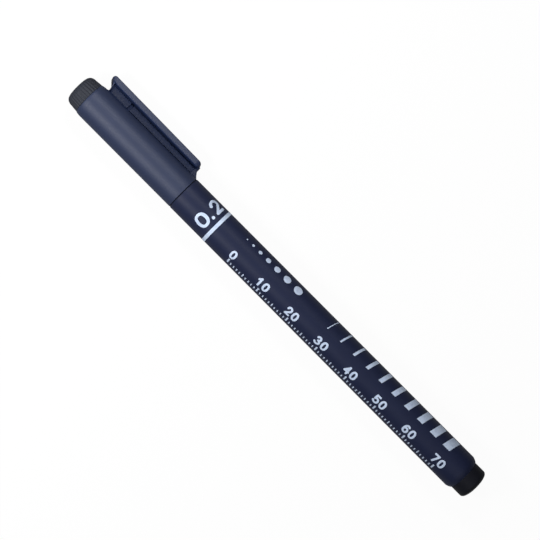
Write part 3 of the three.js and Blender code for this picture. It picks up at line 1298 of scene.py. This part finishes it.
@dataclass
class Barrel(TurnedPiece):
    """The barrel tube: drafted outside, a shoulder and lip at the rear, and ribs inside."""

    name = "barrel_moulding"
    node = "barrel"
    slot = Slot.BARREL
    finish = Finish.BARREL
    longest = 4.0
    sides = 256

    front: float = -0.14
    rear: float = -96.65
    front_radius: float = 4.69
    rear_radius: float = 4.785
    bore: float = 3.75
    lip_radius: float = 4.1
    lip_length: float = 0.1
    lip_edge: float = 0.06
    shoulder: float = 1.35
    shoulder_pull: Point = (0.26, 0.45)
    edge: float = 0.12
    ribs: int = 4
    rib_height: float = 0.28
    rib_width: float = 0.6
    rib_span: tuple[float, float] = (-86.6, -6.65)

    def radius_at(self, station: float) -> float:
        """Gives the drafted outside radius at a station.

        Args:
            station: The station.

        Returns:
            The radius.
        """
        back = self.rear + self.lip_length + self.shoulder
        share = min(max((self.front - station) / (self.front - back), 0.0), 1.0)
        return self.front_radius + (self.rear_radius - self.front_radius) * share

    def outline(self) -> Profile:
        """Draws the tube with its shoulder and lip.

        Returns:
            The outline.
        """
        lip, (inwards, forwards) = self.rear + self.lip_length, self.shoulder_pull
        pull = (self.rear_radius - inwards, lip + forwards)
        return (
            Profile()
            .to(self.bore, self.rear)
            .to(self.lip_radius, self.rear, self.lip_edge)
            .to(self.lip_radius, lip)
            .bend(pull, (self.rear_radius, lip + self.shoulder), steps=12)
            .to(self.front_radius, self.front, self.edge)
            .to(self.bore, self.front)
        )

    def others(self, axis: PenAxis) -> list[bpy.types.Object]:
        """Makes the inner ribs, which are joined on.

        Args:
            axis: The pen's axis.

        Returns:
            The ribs.
        """
        reach = (self.bore - self.rib_height, (self.bore + self.front_radius) / 2)
        angles = [2 * math.pi * i / self.ribs for i in range(self.ribs)]
        return [box_along(axis, angle, reach, self.rib_width, self.rib_span) for angle in angles]


def box_along(
    axis: PenAxis, angle: float, reach: tuple[float, float], width: float, span: tuple[float, float]
) -> bpy.types.Object:
    """Makes a straight block that lies along the pen.

    Args:
        axis: The pen's axis.
        angle: The angle round the axis, from out towards side.
        reach: The block's nearest and farthest distance from the axis.
        width: Its width.
        span: Its first and last station.

    Returns:
        The block.
    """
    rings = []
    for station in span:
        ring = []
        for near, across in ((0, -1), (1, -1), (1, 1), (0, 1)):
            r, w = reach[near], across * width / 2
            c, s = math.cos(angle), math.sin(angle)
            ring.append(axis.place(r * c - w * s, r * s + w * c, station))
        rings.append(ring)
    return from_rings("block", rings)


@dataclass
class RearPlug(TurnedPiece):
    """The plug that closes the barrel: domed head, hollow spigot and crossed fins."""

    name = "rear_plug_moulding"
    node = "rear_plug"
    sides = 160

    seat: float = -96.7
    end: float = -100.8
    radius: float = 4.11
    edge_radius: float = 1.1
    edge: float = 0.1
    dome: float = 0.35
    spigot_radius: float = 3.73
    spigot_end: float = -90.65
    hollow: float = 2.83
    floor: float = -98.75
    floor_corner: float = 0.3
    fin_reach: float = 4.0
    fin_thickness: float = 0.8
    fin_setback: float = 0.45

    def outline(self) -> Profile:
        """Draws the domed head and the hollow spigot.

        Returns:
            The outline.
        """
        rim = self.end + self.dome
        return (
            Profile()
            .to(0, self.end)
            .bend((self.radius / 2, self.end), (self.radius - self.edge_radius, rim), steps=8)
            .bend((self.radius, rim + self.dome), (self.radius, rim + self.edge_radius), steps=12)
            .to(self.radius, self.seat, self.edge)
            .to(self.spigot_radius, self.seat)
            .to(self.spigot_radius, self.spigot_end, self.edge)
            .to(self.hollow, self.spigot_end, self.edge)
            .to(self.hollow, self.floor, self.floor_corner)
            .to(0, self.floor)
        )

    def others(self, axis: PenAxis) -> list[bpy.types.Object]:
        """Makes the crossed fins, which are joined on.

        Args:
            axis: The pen's axis.

        Returns:
            The fins.
        """
        half = self.hollow - self.fin_setback
        span = (self.floor - self.fin_setback, self.spigot_end + self.fin_reach)
        return [box_along(axis, a, (-half, half), self.fin_thickness, span) for a in (0.0, math.pi / 2)]


@dataclass
class Nib(TurnedPiece):
    """The nib, ground fine at its tip."""

    name = "nib_rod"
    node = "nib"
    slot = Slot.NIB
    finish = Finish.NIB
    sides = 64
    crease_degrees = 50.0

    tail: float = 9.4
    radius: float = 0.36
    neck: float = 22.78
    tip_radius: float = 0.14
    top: float = 23.75

    def outline(self) -> Profile:
        """Draws the rod, pointed at its tail and ground thin at its tip.

        Returns:
            The outline.
        """
        return (
            Profile()
            .to(0, self.tail)
            .to(self.radius, self.tail + self.radius)
            .to(self.radius, self.neck)
            .to(self.tip_radius, self.neck + self.radius - self.tip_radius)
            .to(self.tip_radius, self.top - self.tip_radius)
            .bend((self.tip_radius, self.top), (0, self.top), steps=8)
        )


@dataclass
class NibSleeve(TurnedPiece):
    """The steel tube that stiffens the nib, rolled in a little at its mouth."""

    name = "nib_sleeve_tube"
    node = "nib_sleeve"
    slot = Slot.STEEL
    finish = Finish.STEEL
    longest = 0.6
    sides = 96

    nib: Nib
    seat: float = 16.0
    radius: float = 0.52
    wall: float = 0.14
    top: float = 23.2
    clearance: float = 0.05
    mouth_edge: float = 0.02

    def outline(self) -> Profile:
        """Draws the tube.

        Returns:
            The outline.
        """
        inside, mouth = self.radius - self.wall, self.nib.tip_radius + self.clearance
        foot = self.seat + self.clearance
        return (
            Profile()
            .to(inside, foot)
            .to(self.radius, foot)
            .to(self.radius, self.top, self.wall)
            .to(mouth, self.top, self.mouth_edge)
            .to(mouth, self.top - self.wall)
            .to(inside, self.top - 2 * self.wall)
        )


@dataclass
class FrontSection(TurnedPiece):
    """The nib holder: spigot, flange, neck with its snap bead, sealing land and hollow-sided nose."""

    name = "front_section_moulding"
    node = "front_section"
    sides = 160
    how = Join.CUT

    sleeve: NibSleeve
    edge: float = 0.1
    flange_radius: float = 4.55
    flange: float = 0.1
    flange_edge: float = 0.05
    spigot_end: float = -6.35
    spigot_radius: float = 3.73
    hollow: float = 2.73
    neck_radius: float = 3.78
    neck_top: float = 9.0
    bead: float = 5.6
    bead_half: float = 0.35
    bead_pull: float = 0.24
    step: float = 0.18
    land_radius: float = 2.98
    land_top: float = 13.2
    nose_top: float = 20.5
    nose_radius: float = 1.17
    relay_bore: float = 1.15
    relay_seat: float = 12.45
    funnel: float = 1.0
    sleeve_gap: float = 0.02
    nib_gap: float = 0.05
    slot_width: float = 0.4
    slot_depth: float = 0.2

    def outline(self) -> Profile:
        """Draws the section with the bores for reservoir, relay, nib and sleeve.

        Returns:
            The outline.
        """
        sleeve_bore, nib_bore = self.sleeve.radius + self.sleeve_gap, self.sleeve.nib.radius + self.nib_gap
        funnel_top = self.neck_top - self.funnel
        bead_foot, bead_top = self.bead - self.bead_half, self.bead + self.bead_half
        return (
            Profile()
            .to(self.hollow, self.spigot_end, self.edge)
            .to(self.spigot_radius, self.spigot_end, self.edge)
            .to(self.spigot_radius, -self.flange)
            .to(self.flange_radius, -self.flange, self.flange_edge)
            .to(self.flange_radius, 0, self.flange_edge)
            .to(self.neck_radius, 0)
            .to(self.neck_radius, bead_foot)
            .bend((self.neck_radius + self.bead_pull, self.bead), (self.neck_radius, bead_top))
            .to(self.neck_radius, self.neck_top, self.step)
            .to(self.land_radius, self.neck_top)
            .to(self.land_radius, self.land_top, self.edge)
            .to(self.land_radius - self.step, self.land_top + self.step)
            .bend(
                (self.nose_radius + self.step, (self.land_top + self.nose_top) / 2),
                (self.nose_radius, self.nose_top - self.step),
                steps=16,
            )
            .to(self.nose_radius - self.step / 2, self.nose_top)
            .to(sleeve_bore, self.nose_top, self.flange_edge)
            .to(sleeve_bore, self.sleeve.seat)
            .to(nib_bore, self.sleeve.seat)
            .to(nib_bore, self.relay_seat)
            .to(self.relay_bore, self.relay_seat)
            .to(self.relay_bore, funnel_top)
            .to(self.hollow, funnel_top - self.funnel)
        )

    def others(self, axis: PenAxis) -> list[bpy.types.Object]:
        """Makes the air slots beside relay and sleeve, which are cut out.

        Args:
            axis: The pen's axis.

        Returns:
            The slots.
        """
        sleeve_bore = self.sleeve.radius + self.sleeve_gap
        slots = (
            (self.relay_bore, (self.neck_top - 2 * self.funnel, self.relay_seat)),
            (sleeve_bore, (self.relay_seat - self.slot_width, self.nose_top + self.slot_width)),
        )
        return [
            box_along(axis, 0, (0, bore + self.slot_depth), self.slot_width, span) for bore, span in slots
        ]


@dataclass
class WritingEnd(Assembly):
    """What writes."""

    section: FrontSection
    sleeve: NibSleeve
    nib: Nib


class InkPiece(TurnedPiece):
    """A long plain piece of the ink supply."""

    slot = Slot.FIBRE
    finish = Finish.FIBRE
    longest = 5.0
    sides = 96


@dataclass
class InkRelay(InkPiece):
    """The fibre rod that carries ink to the nib, whose tail stands in it."""

    name = "ink_relay_rod"
    node = "ink_relay"

    rear: float = -14.65
    front: float = 12.4
    radius: float = 1.1
    edge: float = 0.12
    nib_hole: float = 0.38
    nib_depth: float = 3.05

    def outline(self) -> Profile:
        """Draws the rod.

        Returns:
            The outline.
        """
        return (
            Profile()
            .to(0, self.rear)
            .to(self.radius, self.rear, self.edge)
            .to(self.radius, self.front, self.edge)
            .to(self.nib_hole, self.front)
            .to(self.nib_hole, self.front - self.nib_depth)
            .to(0, self.front - self.nib_depth)
        )


@dataclass
class ReservoirCore(InkPiece):
    """The fibre bundle that holds the ink, on the relay's rear end."""

    name = "reservoir_fibre"
    node = "reservoir_core"

    relay: InkRelay
    rear: float = -86.6
    front: float = -6.65
    radius: float = 3.28
    side_gap: float = 0.02
    end_gap: float = 0.05

    def outline(self) -> Profile:
        """Draws the bundle with the relay's hole.

        Returns:
            The outline.
        """
        hole, hole_end = self.relay.radius + self.side_gap, self.relay.rear - self.end_gap
        return (
            Profile()
            .to(0, self.rear)
            .to(self.radius, self.rear)
            .to(self.radius, self.front)
            .to(hole, self.front)
            .to(hole, hole_end)
            .to(0, hole_end)
        )


@dataclass
class ReservoirWrap(InkPiece):
    """The film round the fibre bundle."""

    name = "reservoir_film"
    node = "reservoir_wrap"
    slot = Slot.FILM
    finish = Finish.FILM

    core: ReservoirCore
    radius: float = 3.42
    film: float = 0.12

    def outline(self) -> Profile:
        """Draws the sleeve of film.

        Returns:
            The outline.
        """
        inside, rear, front = self.radius - self.film, self.core.rear, self.core.front
        return Profile().to(inside, rear).to(self.radius, rear).to(self.radius, front).to(inside, front)


@dataclass
class InkSupply(Assembly):
    """What holds the ink."""

    relay: InkRelay
    core: ReservoirCore
    wrap: ReservoirWrap


# The marks printed on the barrel


def curve(
    centre: Point, reach: Point, start: float, end: float, power: float = 2.0, steps: int = 20
) -> list[Point]:
    """Draws an arc of an ellipse.

    Args:
        centre: The ellipse's centre.
        reach: Its half width and half height.
        start: The first angle, in degrees anticlockwise from the right.
        end: The last angle.
        power: 2 for an ellipse, and more for squarer shoulders.
        steps: How many straight pieces the arc gets.

    Returns:
        The arc's points.
    """
    spots = []
    for i in range(steps + 1):
        angle = math.radians(start + (end - start) * i / steps)
        c, s = (math.copysign(abs(v) ** (2 / power), v) for v in (math.cos(angle), math.sin(angle)))
        spots.append((centre[0] + reach[0] * c, centre[1] + reach[1] * s))
    return spots


# Middle lines of plain bold numerals, each in a box of 1 by 1
NUMERALS: dict[str, list[list[Point]]] = {
    "0": [curve((0.5, 0.5), (0.5, 0.5), 0, 360, power=2.3, steps=40)],
    "1": [[(0.62, 0.0), (0.62, 1.0)], [(0.62, 1.0), (0.12, 0.74)]],
    "2": [curve((0.5, 0.7), (0.46, 0.3), 170, -38) + [(0.04, 0.0)], [(0.04, 0.0), (1.0, 0.0)]],
    "3": [curve((0.46, 0.76), (0.42, 0.24), 155, -90), curve((0.46, 0.26), (0.54, 0.26), 90, -155)],
    "4": [[(0.76, 0.0), (0.76, 1.0)], [(0.76, 1.0), (0.0, 0.3)], [(0.0, 0.3), (1.0, 0.3)]],
    "5": [
        [(0.92, 1.0), (0.14, 1.0)],
        [(0.14, 1.0), (0.08, 0.52)],
        [(0.08, 0.52)] + curve((0.46, 0.32), (0.54, 0.32), 125, -155),
    ],
    "6": [curve((0.5, 0.32), (0.5, 0.32), 0, 360, steps=32), curve((0.62, 0.42), (0.62, 0.58), 60, 180)],
    "7": [[(0.0, 1.0), (1.0, 1.0)], [(1.0, 1.0), (0.34, 0.0)]],
}


# Flat shapes to print: convex polygons in X and arc, in millimetres, which may overlap
Sheet = list[list[Vector]]


def disc(centre: Vector, radius: float, sides: int = 24) -> Sheet:
    """Draws a round dot."""
    turns = [2 * math.pi * i / sides for i in range(sides)]
    return [[centre + Vector((math.cos(a), math.sin(a))) * radius for a in turns]]


def bar(start: Vector, end: Vector, width: float) -> Sheet:
    """Draws a straight bar with square ends between the middles of its ends."""
    across = (end - start).orthogonal().normalized() * width / 2
    return [[start + across, start - across, end - across, end + across]]


def slanted(x: float, low: float, high: float, width: float, lean: float) -> Sheet:
    """Draws a bar with level ends, from x at its lower end to x plus its lean at its upper end."""
    foot, head, half = Vector((x, low)), Vector((x + lean, high)), Vector((width / 2, 0))
    return [[foot - half, foot + half, head + half, head - half]]


def stroke(path: Sequence[Vector], up: Vector, thin: float, thick: float) -> Sheet:
    """Draws a bold pen stroke with round ends, thicker where it runs upright.

    Args:
        path: The stroke's middle line.
        up: The way that is upright.
        thin: The stroke's width where it lies level.
        thick: Its width where it stands upright.

    Returns:
        The stroke's shapes.
    """
    same_spot = 1e-3
    closed = (path[0] - path[-1]).length < same_spot
    edges = []
    for i, spot in enumerate(path):
        before = path[i - 1] if i else (path[-2] if closed else spot)
        after = path[i + 1] if i + 1 < len(path) else (path[1] if closed else spot)
        way = (after - before).normalized()
        half = (thin + (thick - thin) * way.dot(up) ** 2) / 2
        edges.append((spot + way.orthogonal() * half, spot - way.orthogonal() * half, half))
    shapes = [[one[0], one[1], two[1], two[0]] for one, two in zip(edges, edges[1:])]
    if not closed:
        shapes += disc(path[0], edges[0][2]) + disc(path[-1], edges[-1][2])
    return shapes


def numeral(digit: str, corner: Vector, size: Point, along: Vector, thin: float, thick: float) -> Sheet:
    """Draws a numeral.

    Args:
        digit: The numeral.
        corner: Its lower left corner.
        size: Its width and height.
        along: The way that it is read.
        thin: The width of its level strokes.
        thick: The width of its upright strokes.

    Returns:
        The numeral's shapes.
    """
    up = Vector((-along.y, along.x))
    start = corner + along * thick / 2 + up * thin / 2
    shapes = []
    for line in NUMERALS[digit]:
        path = [start + along * (x * (size[0] - thick)) + up * (y * (size[1] - thin)) for x, y in line]
        shapes += stroke(path, up, thin, thick)
    return shapes


@dataclass
class BarrelPrint:
    """Pale marks on the barrel: the nib's line width, a ring, a millimetre scale and sample strokes."""

    barrel: Barrel
    proud: float = 0.012
    sunk: float = 0.02
    strip: float = 0.3
    ring: tuple[float, float] = (-21.16, -20.26)
    mark_base: float = -22.26
    mark_height: float = 3.84
    scale_start: float = -12.9
    scale_length: int = 70

    def wrap(self, name: str, axis: PenAxis, sheets: Iterable[Sheet]) -> bpy.types.Object:
        """Lays flat artwork round the barrel as a thin film of ink.

        Args:
            name: The printed piece's name.
            axis: The pen's axis.
            sheets: The artwork. Shapes on one sheet are merged.

        Returns:
            The printed piece.
        """
        work = bmesh.new()
        for sheet in sheets:
            self.lay(work, axis, sheet)
        return closed_solid(name, work)

    def lay(self, work: bmesh.types.BMesh, axis: PenAxis, sheet: Sheet) -> None:
        """Merges one sheet's shapes, cuts them into strips that can bend, and lays them round.

        Args:
            work: The mesh that gets them.
            axis: The pen's axis.
            sheet: The artwork.
        """
        spots: list[Vector] = []
        faces: list[list[int]] = []
        for polygon in sheet:
            area = sum(a.x * b.y - b.x * a.y for a, b in zip(polygon, polygon[1:] + polygon[:1]))
            faces.append(list(range(len(spots), len(spots) + len(polygon))))
            spots += polygon if area > 0 else polygon[::-1]
        same_spot = 1e-5
        left, right = min(s.x for s in spots) - 1, max(s.x for s in spots) + 1
        first, last = (math.floor(f(s.y for s in spots) / self.strip) for f in (min, max))
        cuts = []
        for level in range(first, last + 2):
            cuts.append((len(spots), len(spots) + 1))
            spots += [Vector((left, level * self.strip)), Vector((right, level * self.strip))]
        flat, _, pieces, _, _, owners = delaunay_2d_cdt(spots, cuts, faces, 0, same_spot)
        kept = [piece for piece, owner in zip(pieces, owners) if owner]
        used = sorted({i for piece in kept for i in piece})
        upper, lower = {}, {}
        for i in used:
            x, arc = flat[i]
            radius = self.barrel.radius_at(axis.mouth_x - x)
            upper[i] = work.verts.new(axis.on_barrel(x, arc, radius + self.proud))
            lower[i] = work.verts.new(axis.on_barrel(x, arc, radius - self.sunk))
        seen: dict[tuple[int, int], int] = {}
        for piece in kept:
            work.faces.new([upper[i] for i in piece])
            work.faces.new([lower[i] for i in reversed(piece)])
            for side in zip(piece, piece[1:] + piece[:1]):
                edge = (min(side), max(side))
                seen[edge] = seen.get(edge, 0) + 1
        for (a, b), count in seen.items():
            if count == 1:
                work.faces.new([upper[a], upper[b], lower[b], lower[a]])

    def nib_mark(self) -> list[Sheet]:
        """Draws the line width, 0.2, which reads round the barrel.

        Returns:
            A sheet for each figure and one for the point.
        """
        thin, thick = 0.7, 0.85
        point_arc = 1.0
        round_barrel = Vector((0, 1))
        figures = [
            numeral(
                digit, Vector((self.mark_base, left)), (width, self.mark_height), round_barrel, thin, thick
            )
            for digit, left, width in (("0", -3.09, 3.4), ("2", 2.1, 3.2))
        ]
        return figures + [disc(Vector((self.mark_base - thick / 2, point_arc)), thick / 2)]

    def scale(self) -> list[Sheet]:
        """Draws the millimetre scale: a tick for each millimetre and a number for each ten.

        Returns:
            A sheet for each tick and each figure.
        """
        foot, digit_foot = -5.2, -3.3
        ten, five, one = (1.55, 0.42), (1.25, 0.3), (0.9, 0.3)
        thin, thick = 0.5, 0.56
        digit_size, spacing = (1.75, 2.45), 0.3
        sheets = []
        for mm in range(self.scale_length + 1):
            x = self.scale_start + mm
            height, width = ten if mm % 10 == 0 else five if mm % 5 == 0 else one
            sheets.append(bar(Vector((x, foot)), Vector((x, foot + height)), width))
            text = str(mm) if mm % 10 == 0 else ""
            total = len(text) * digit_size[0] + (len(text) - 1) * spacing
            for i, digit in enumerate(text):
                corner = Vector((x - total / 2 + i * (digit_size[0] + spacing), digit_foot))
                sheets.append(numeral(digit, corner, digit_size, Vector((1, 0)), thin, thick))
        return sheets

    def samples(self) -> list[Sheet]:
        """Draws sample strokes, from a fine one to a bold one.

        Returns:
            A sheet for each stroke.
        """
        start, pitch, count = 15.6, 4.5, 10
        low, high, lean = 1.6, 6.2, 1.1
        finest, boldest = 0.25, 2.3
        widths = [finest + (boldest - finest) * i / (count - 1) for i in range(count)]
        return [slanted(start + pitch * i, low, high, width, lean) for i, width in enumerate(widths)]

    def dots(self) -> list[Sheet]:
        """Draws sample dots, from a fine one to a bold one.

        Returns:
            A sheet for each dot.
        """
        x, gap, middle, count = -13.4, 1.5, 3.4, 7
        finest, boldest = 0.4, 2.4
        sheets = []
        for i in range(count):
            size = finest + (boldest - finest) * i / (count - 1)
            sheets.append(disc(Vector((x + size / 2, middle)), size / 2, sides=32))
            x += size + gap
        return sheets

    def band(self, axis: PenAxis) -> bpy.types.Object:
        """Turns the printed ring.

        Args:
            axis: The pen's axis.

        Returns:
            The ring.
        """
        outline = Profile()
        for x, height in ((0, -self.sunk), (0, self.proud), (1, self.proud), (1, -self.sunk)):
            station = axis.mouth_x - self.ring[x]
            outline.to(self.barrel.radius_at(station) + height, station)
        return revolve("printed_ring", axis, outline.points(), sides=256)

    def build(self, axis: PenAxis, wardrobe: Wardrobe) -> None:
        """Prints all the marks and ties them to the pen.

        Args:
            axis: The pen's axis.
            wardrobe: The finishes.
        """
        printed = [
            self.wrap("printed_line_width", axis, self.nib_mark()),
            self.wrap("printed_scale", axis, self.scale()),
            self.wrap("printed_sample_strokes", axis, self.samples()),
            self.wrap("printed_sample_dots", axis, self.dots()),
            self.band(axis),
        ]
        for piece in printed:
            soften(piece)
            fit(piece, Body.PEN, Slot.BARREL, wardrobe.get(Finish.PRINT))


@dataclass
class PenBody(Assembly):
    """What is left in the hand."""

    barrel: Barrel
    marks: BarrelPrint
    plug: RearPlug
    writing_end: WritingEnd
    ink: InkSupply


# The studio


@dataclass(frozen=True)
class Softbox:
    """A diffused lamp that faces a place on the pen."""

    name: str
    place: tuple[float, float, float]
    length: float
    width: float
    power: float
    faces_x: float

    def build(self) -> None:
        """Hangs the lamp."""
        data = bpy.data.lights.new(self.name, "AREA")
        data.shape = "RECTANGLE"
        data.size = self.length
        data.size_y = self.width
        data.energy = self.power
        lamp = new_object(self.name, data)
        lamp.location = self.place
        towards = Vector((self.faces_x, 0.0, 0.0)) - lamp.location
        lamp.rotation_euler = towards.to_track_quat("-Z", "Y").to_euler()


@dataclass
class Studio:
    """A white table, soft lamps and the camera that looks straight down."""

    camera_place: tuple[float, float, float] = (-0.00415, -0.000175, 0.5648)
    camera_turn: float = 45.155
    focal_length: float = 153.75
    sensor: float = 36.0
    table_size: float = 40.0
    table_colour: str = "#606060"
    table_white: float = 0.955
    table_mirrored: float = 0.28
    sky: float = 0.017

    def build(self) -> None:
        """Sets up the table, the lamps, the sky and the camera."""
        self.table()
        self.light()
        self.camera()
        bpy.context.scene.view_settings.view_transform = "Standard"

    def straight_rays(self, tree: bpy.types.NodeTree) -> Socket:
        """Finds the rays that see the table as a background: from the camera, or by mirror or glass.

        Plastic seen edge-on mirrors the table too, and full white there would eat into its outline, so
        mirrored rays get a smaller share.

        Args:
            tree: The node tree.

        Returns:
            A socket with the share of white for these rays and 0 for others.
        """
        rays = add_node(tree, "ShaderNodeLightPath")
        bounced = add_node(
            tree,
            "ShaderNodeMath",
            {"operation": "MAXIMUM"},
            {0: rays.outputs["Is Glossy Ray"], 1: rays.outputs["Is Transmission Ray"]},
        )
        mirrored = add_node(
            tree, "ShaderNodeMath", {"operation": "MULTIPLY", 1: self.table_mirrored}, {0: bounced.outputs[0]}
        )
        share = add_node(
            tree,
            "ShaderNodeMath",
            {"operation": "MULTIPLY_ADD", 1: self.table_white},
            {0: rays.outputs["Is Camera Ray"], 2: mirrored.outputs[0]},
        )
        return share.outputs[0]

    def table(self) -> None:
        """Lays the table, which shows as white and keeps a faint shadow."""
        half = self.table_size / 2
        mesh = bpy.data.meshes.new("white_table")
        corners = [(-half, -half, 0), (half, -half, 0), (half, half, 0), (-half, half, 0)]
        mesh.from_pydata(corners, [], [(0, 1, 2, 3)])
        table = new_object("white_table", mesh)
        material, tree, output = new_material("white_laminate")
        rays = add_node(tree, "ShaderNodeLightPath")
        colour = add_node(
            tree,
            "ShaderNodeMix",
            {"data_type": "RGBA", 6: linear(self.table_colour), 7: WHITE},
            {0: rays.outputs["Is Camera Ray"]},
        )
        lit = add_node(tree, "ShaderNodeBsdfDiffuse", links={"Color": colour.outputs[2]})
        white = add_node(tree, "ShaderNodeEmission", {"Color": WHITE, "Strength": 1.0})
        mix = add_node(
            tree,
            "ShaderNodeMixShader",
            links={0: self.straight_rays(tree), 1: lit.outputs[0], 2: white.outputs[0]},
        )
        tree.links.new(mix.outputs[0], output.inputs["Surface"])
        mesh.materials.append(material)

    def light(self) -> None:
        """Hangs the lamps and lights the sky evenly."""
        for lamp in (
            Softbox("front_softbox", (-0.105, -0.1145, 0.1685), 0.12, 0.05, 0.35, -0.105),
            Softbox("back_softbox", (-0.105, 0.112, 0.169), 0.12, 0.03, 0.255, -0.105),
            Softbox("crown_end_softbox", (-0.25, 0.0, 0.1), 0.12, 0.12, 0.035, -0.06),
            Softbox("rear_end_softbox", (0.28, -0.1, 0.3), 0.4, 0.4, 0.38, 0.08),
        ):
            lamp.build()
        world = bpy.data.worlds.new("even_sky")
        bpy.context.scene.world = world
        world.use_nodes = True
        tree = world.node_tree
        tree.nodes.clear()
        dim = add_node(tree, "ShaderNodeBackground", {"Color": WHITE, "Strength": self.sky})
        add_node(tree, "ShaderNodeOutputWorld", links={"Surface": dim.outputs[0]})

    def camera(self) -> None:
        """Sets the camera above the pen, turned so that the pen lies across the picture."""
        data = bpy.data.cameras.new("camera")
        data.lens = self.focal_length
        data.sensor_width = self.sensor
        data.clip_start, data.clip_end = 0.01, 20.0
        camera = new_object("camera", data)
        camera.location = self.camera_place
        camera.rotation_euler = (0.0, 0.0, math.radians(self.camera_turn))
        bpy.context.scene.camera = camera


def main() -> None:
    """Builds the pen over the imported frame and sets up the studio."""
    logging.basicConfig(level=logging.INFO, format="%(message)s")
    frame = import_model()
    axis = PenAxis.measured(frame["record"])
    wardrobe = Wardrobe()
    CapAssembly(CapShell(), Crown(), InnerCap()).build(axis, wardrobe)
    barrel, nib, relay = Barrel(), Nib(), InkRelay()
    sleeve, core = NibSleeve(nib), ReservoirCore(relay)
    writing_end = WritingEnd(FrontSection(sleeve), sleeve, nib)
    ink = InkSupply(relay, core, ReservoirWrap(core))
    PenBody(barrel, BarrelPrint(barrel), RearPlug(), writing_end, ink).build(axis, wardrobe)
    Studio().build()


if __name__ == "__main__":
    main()
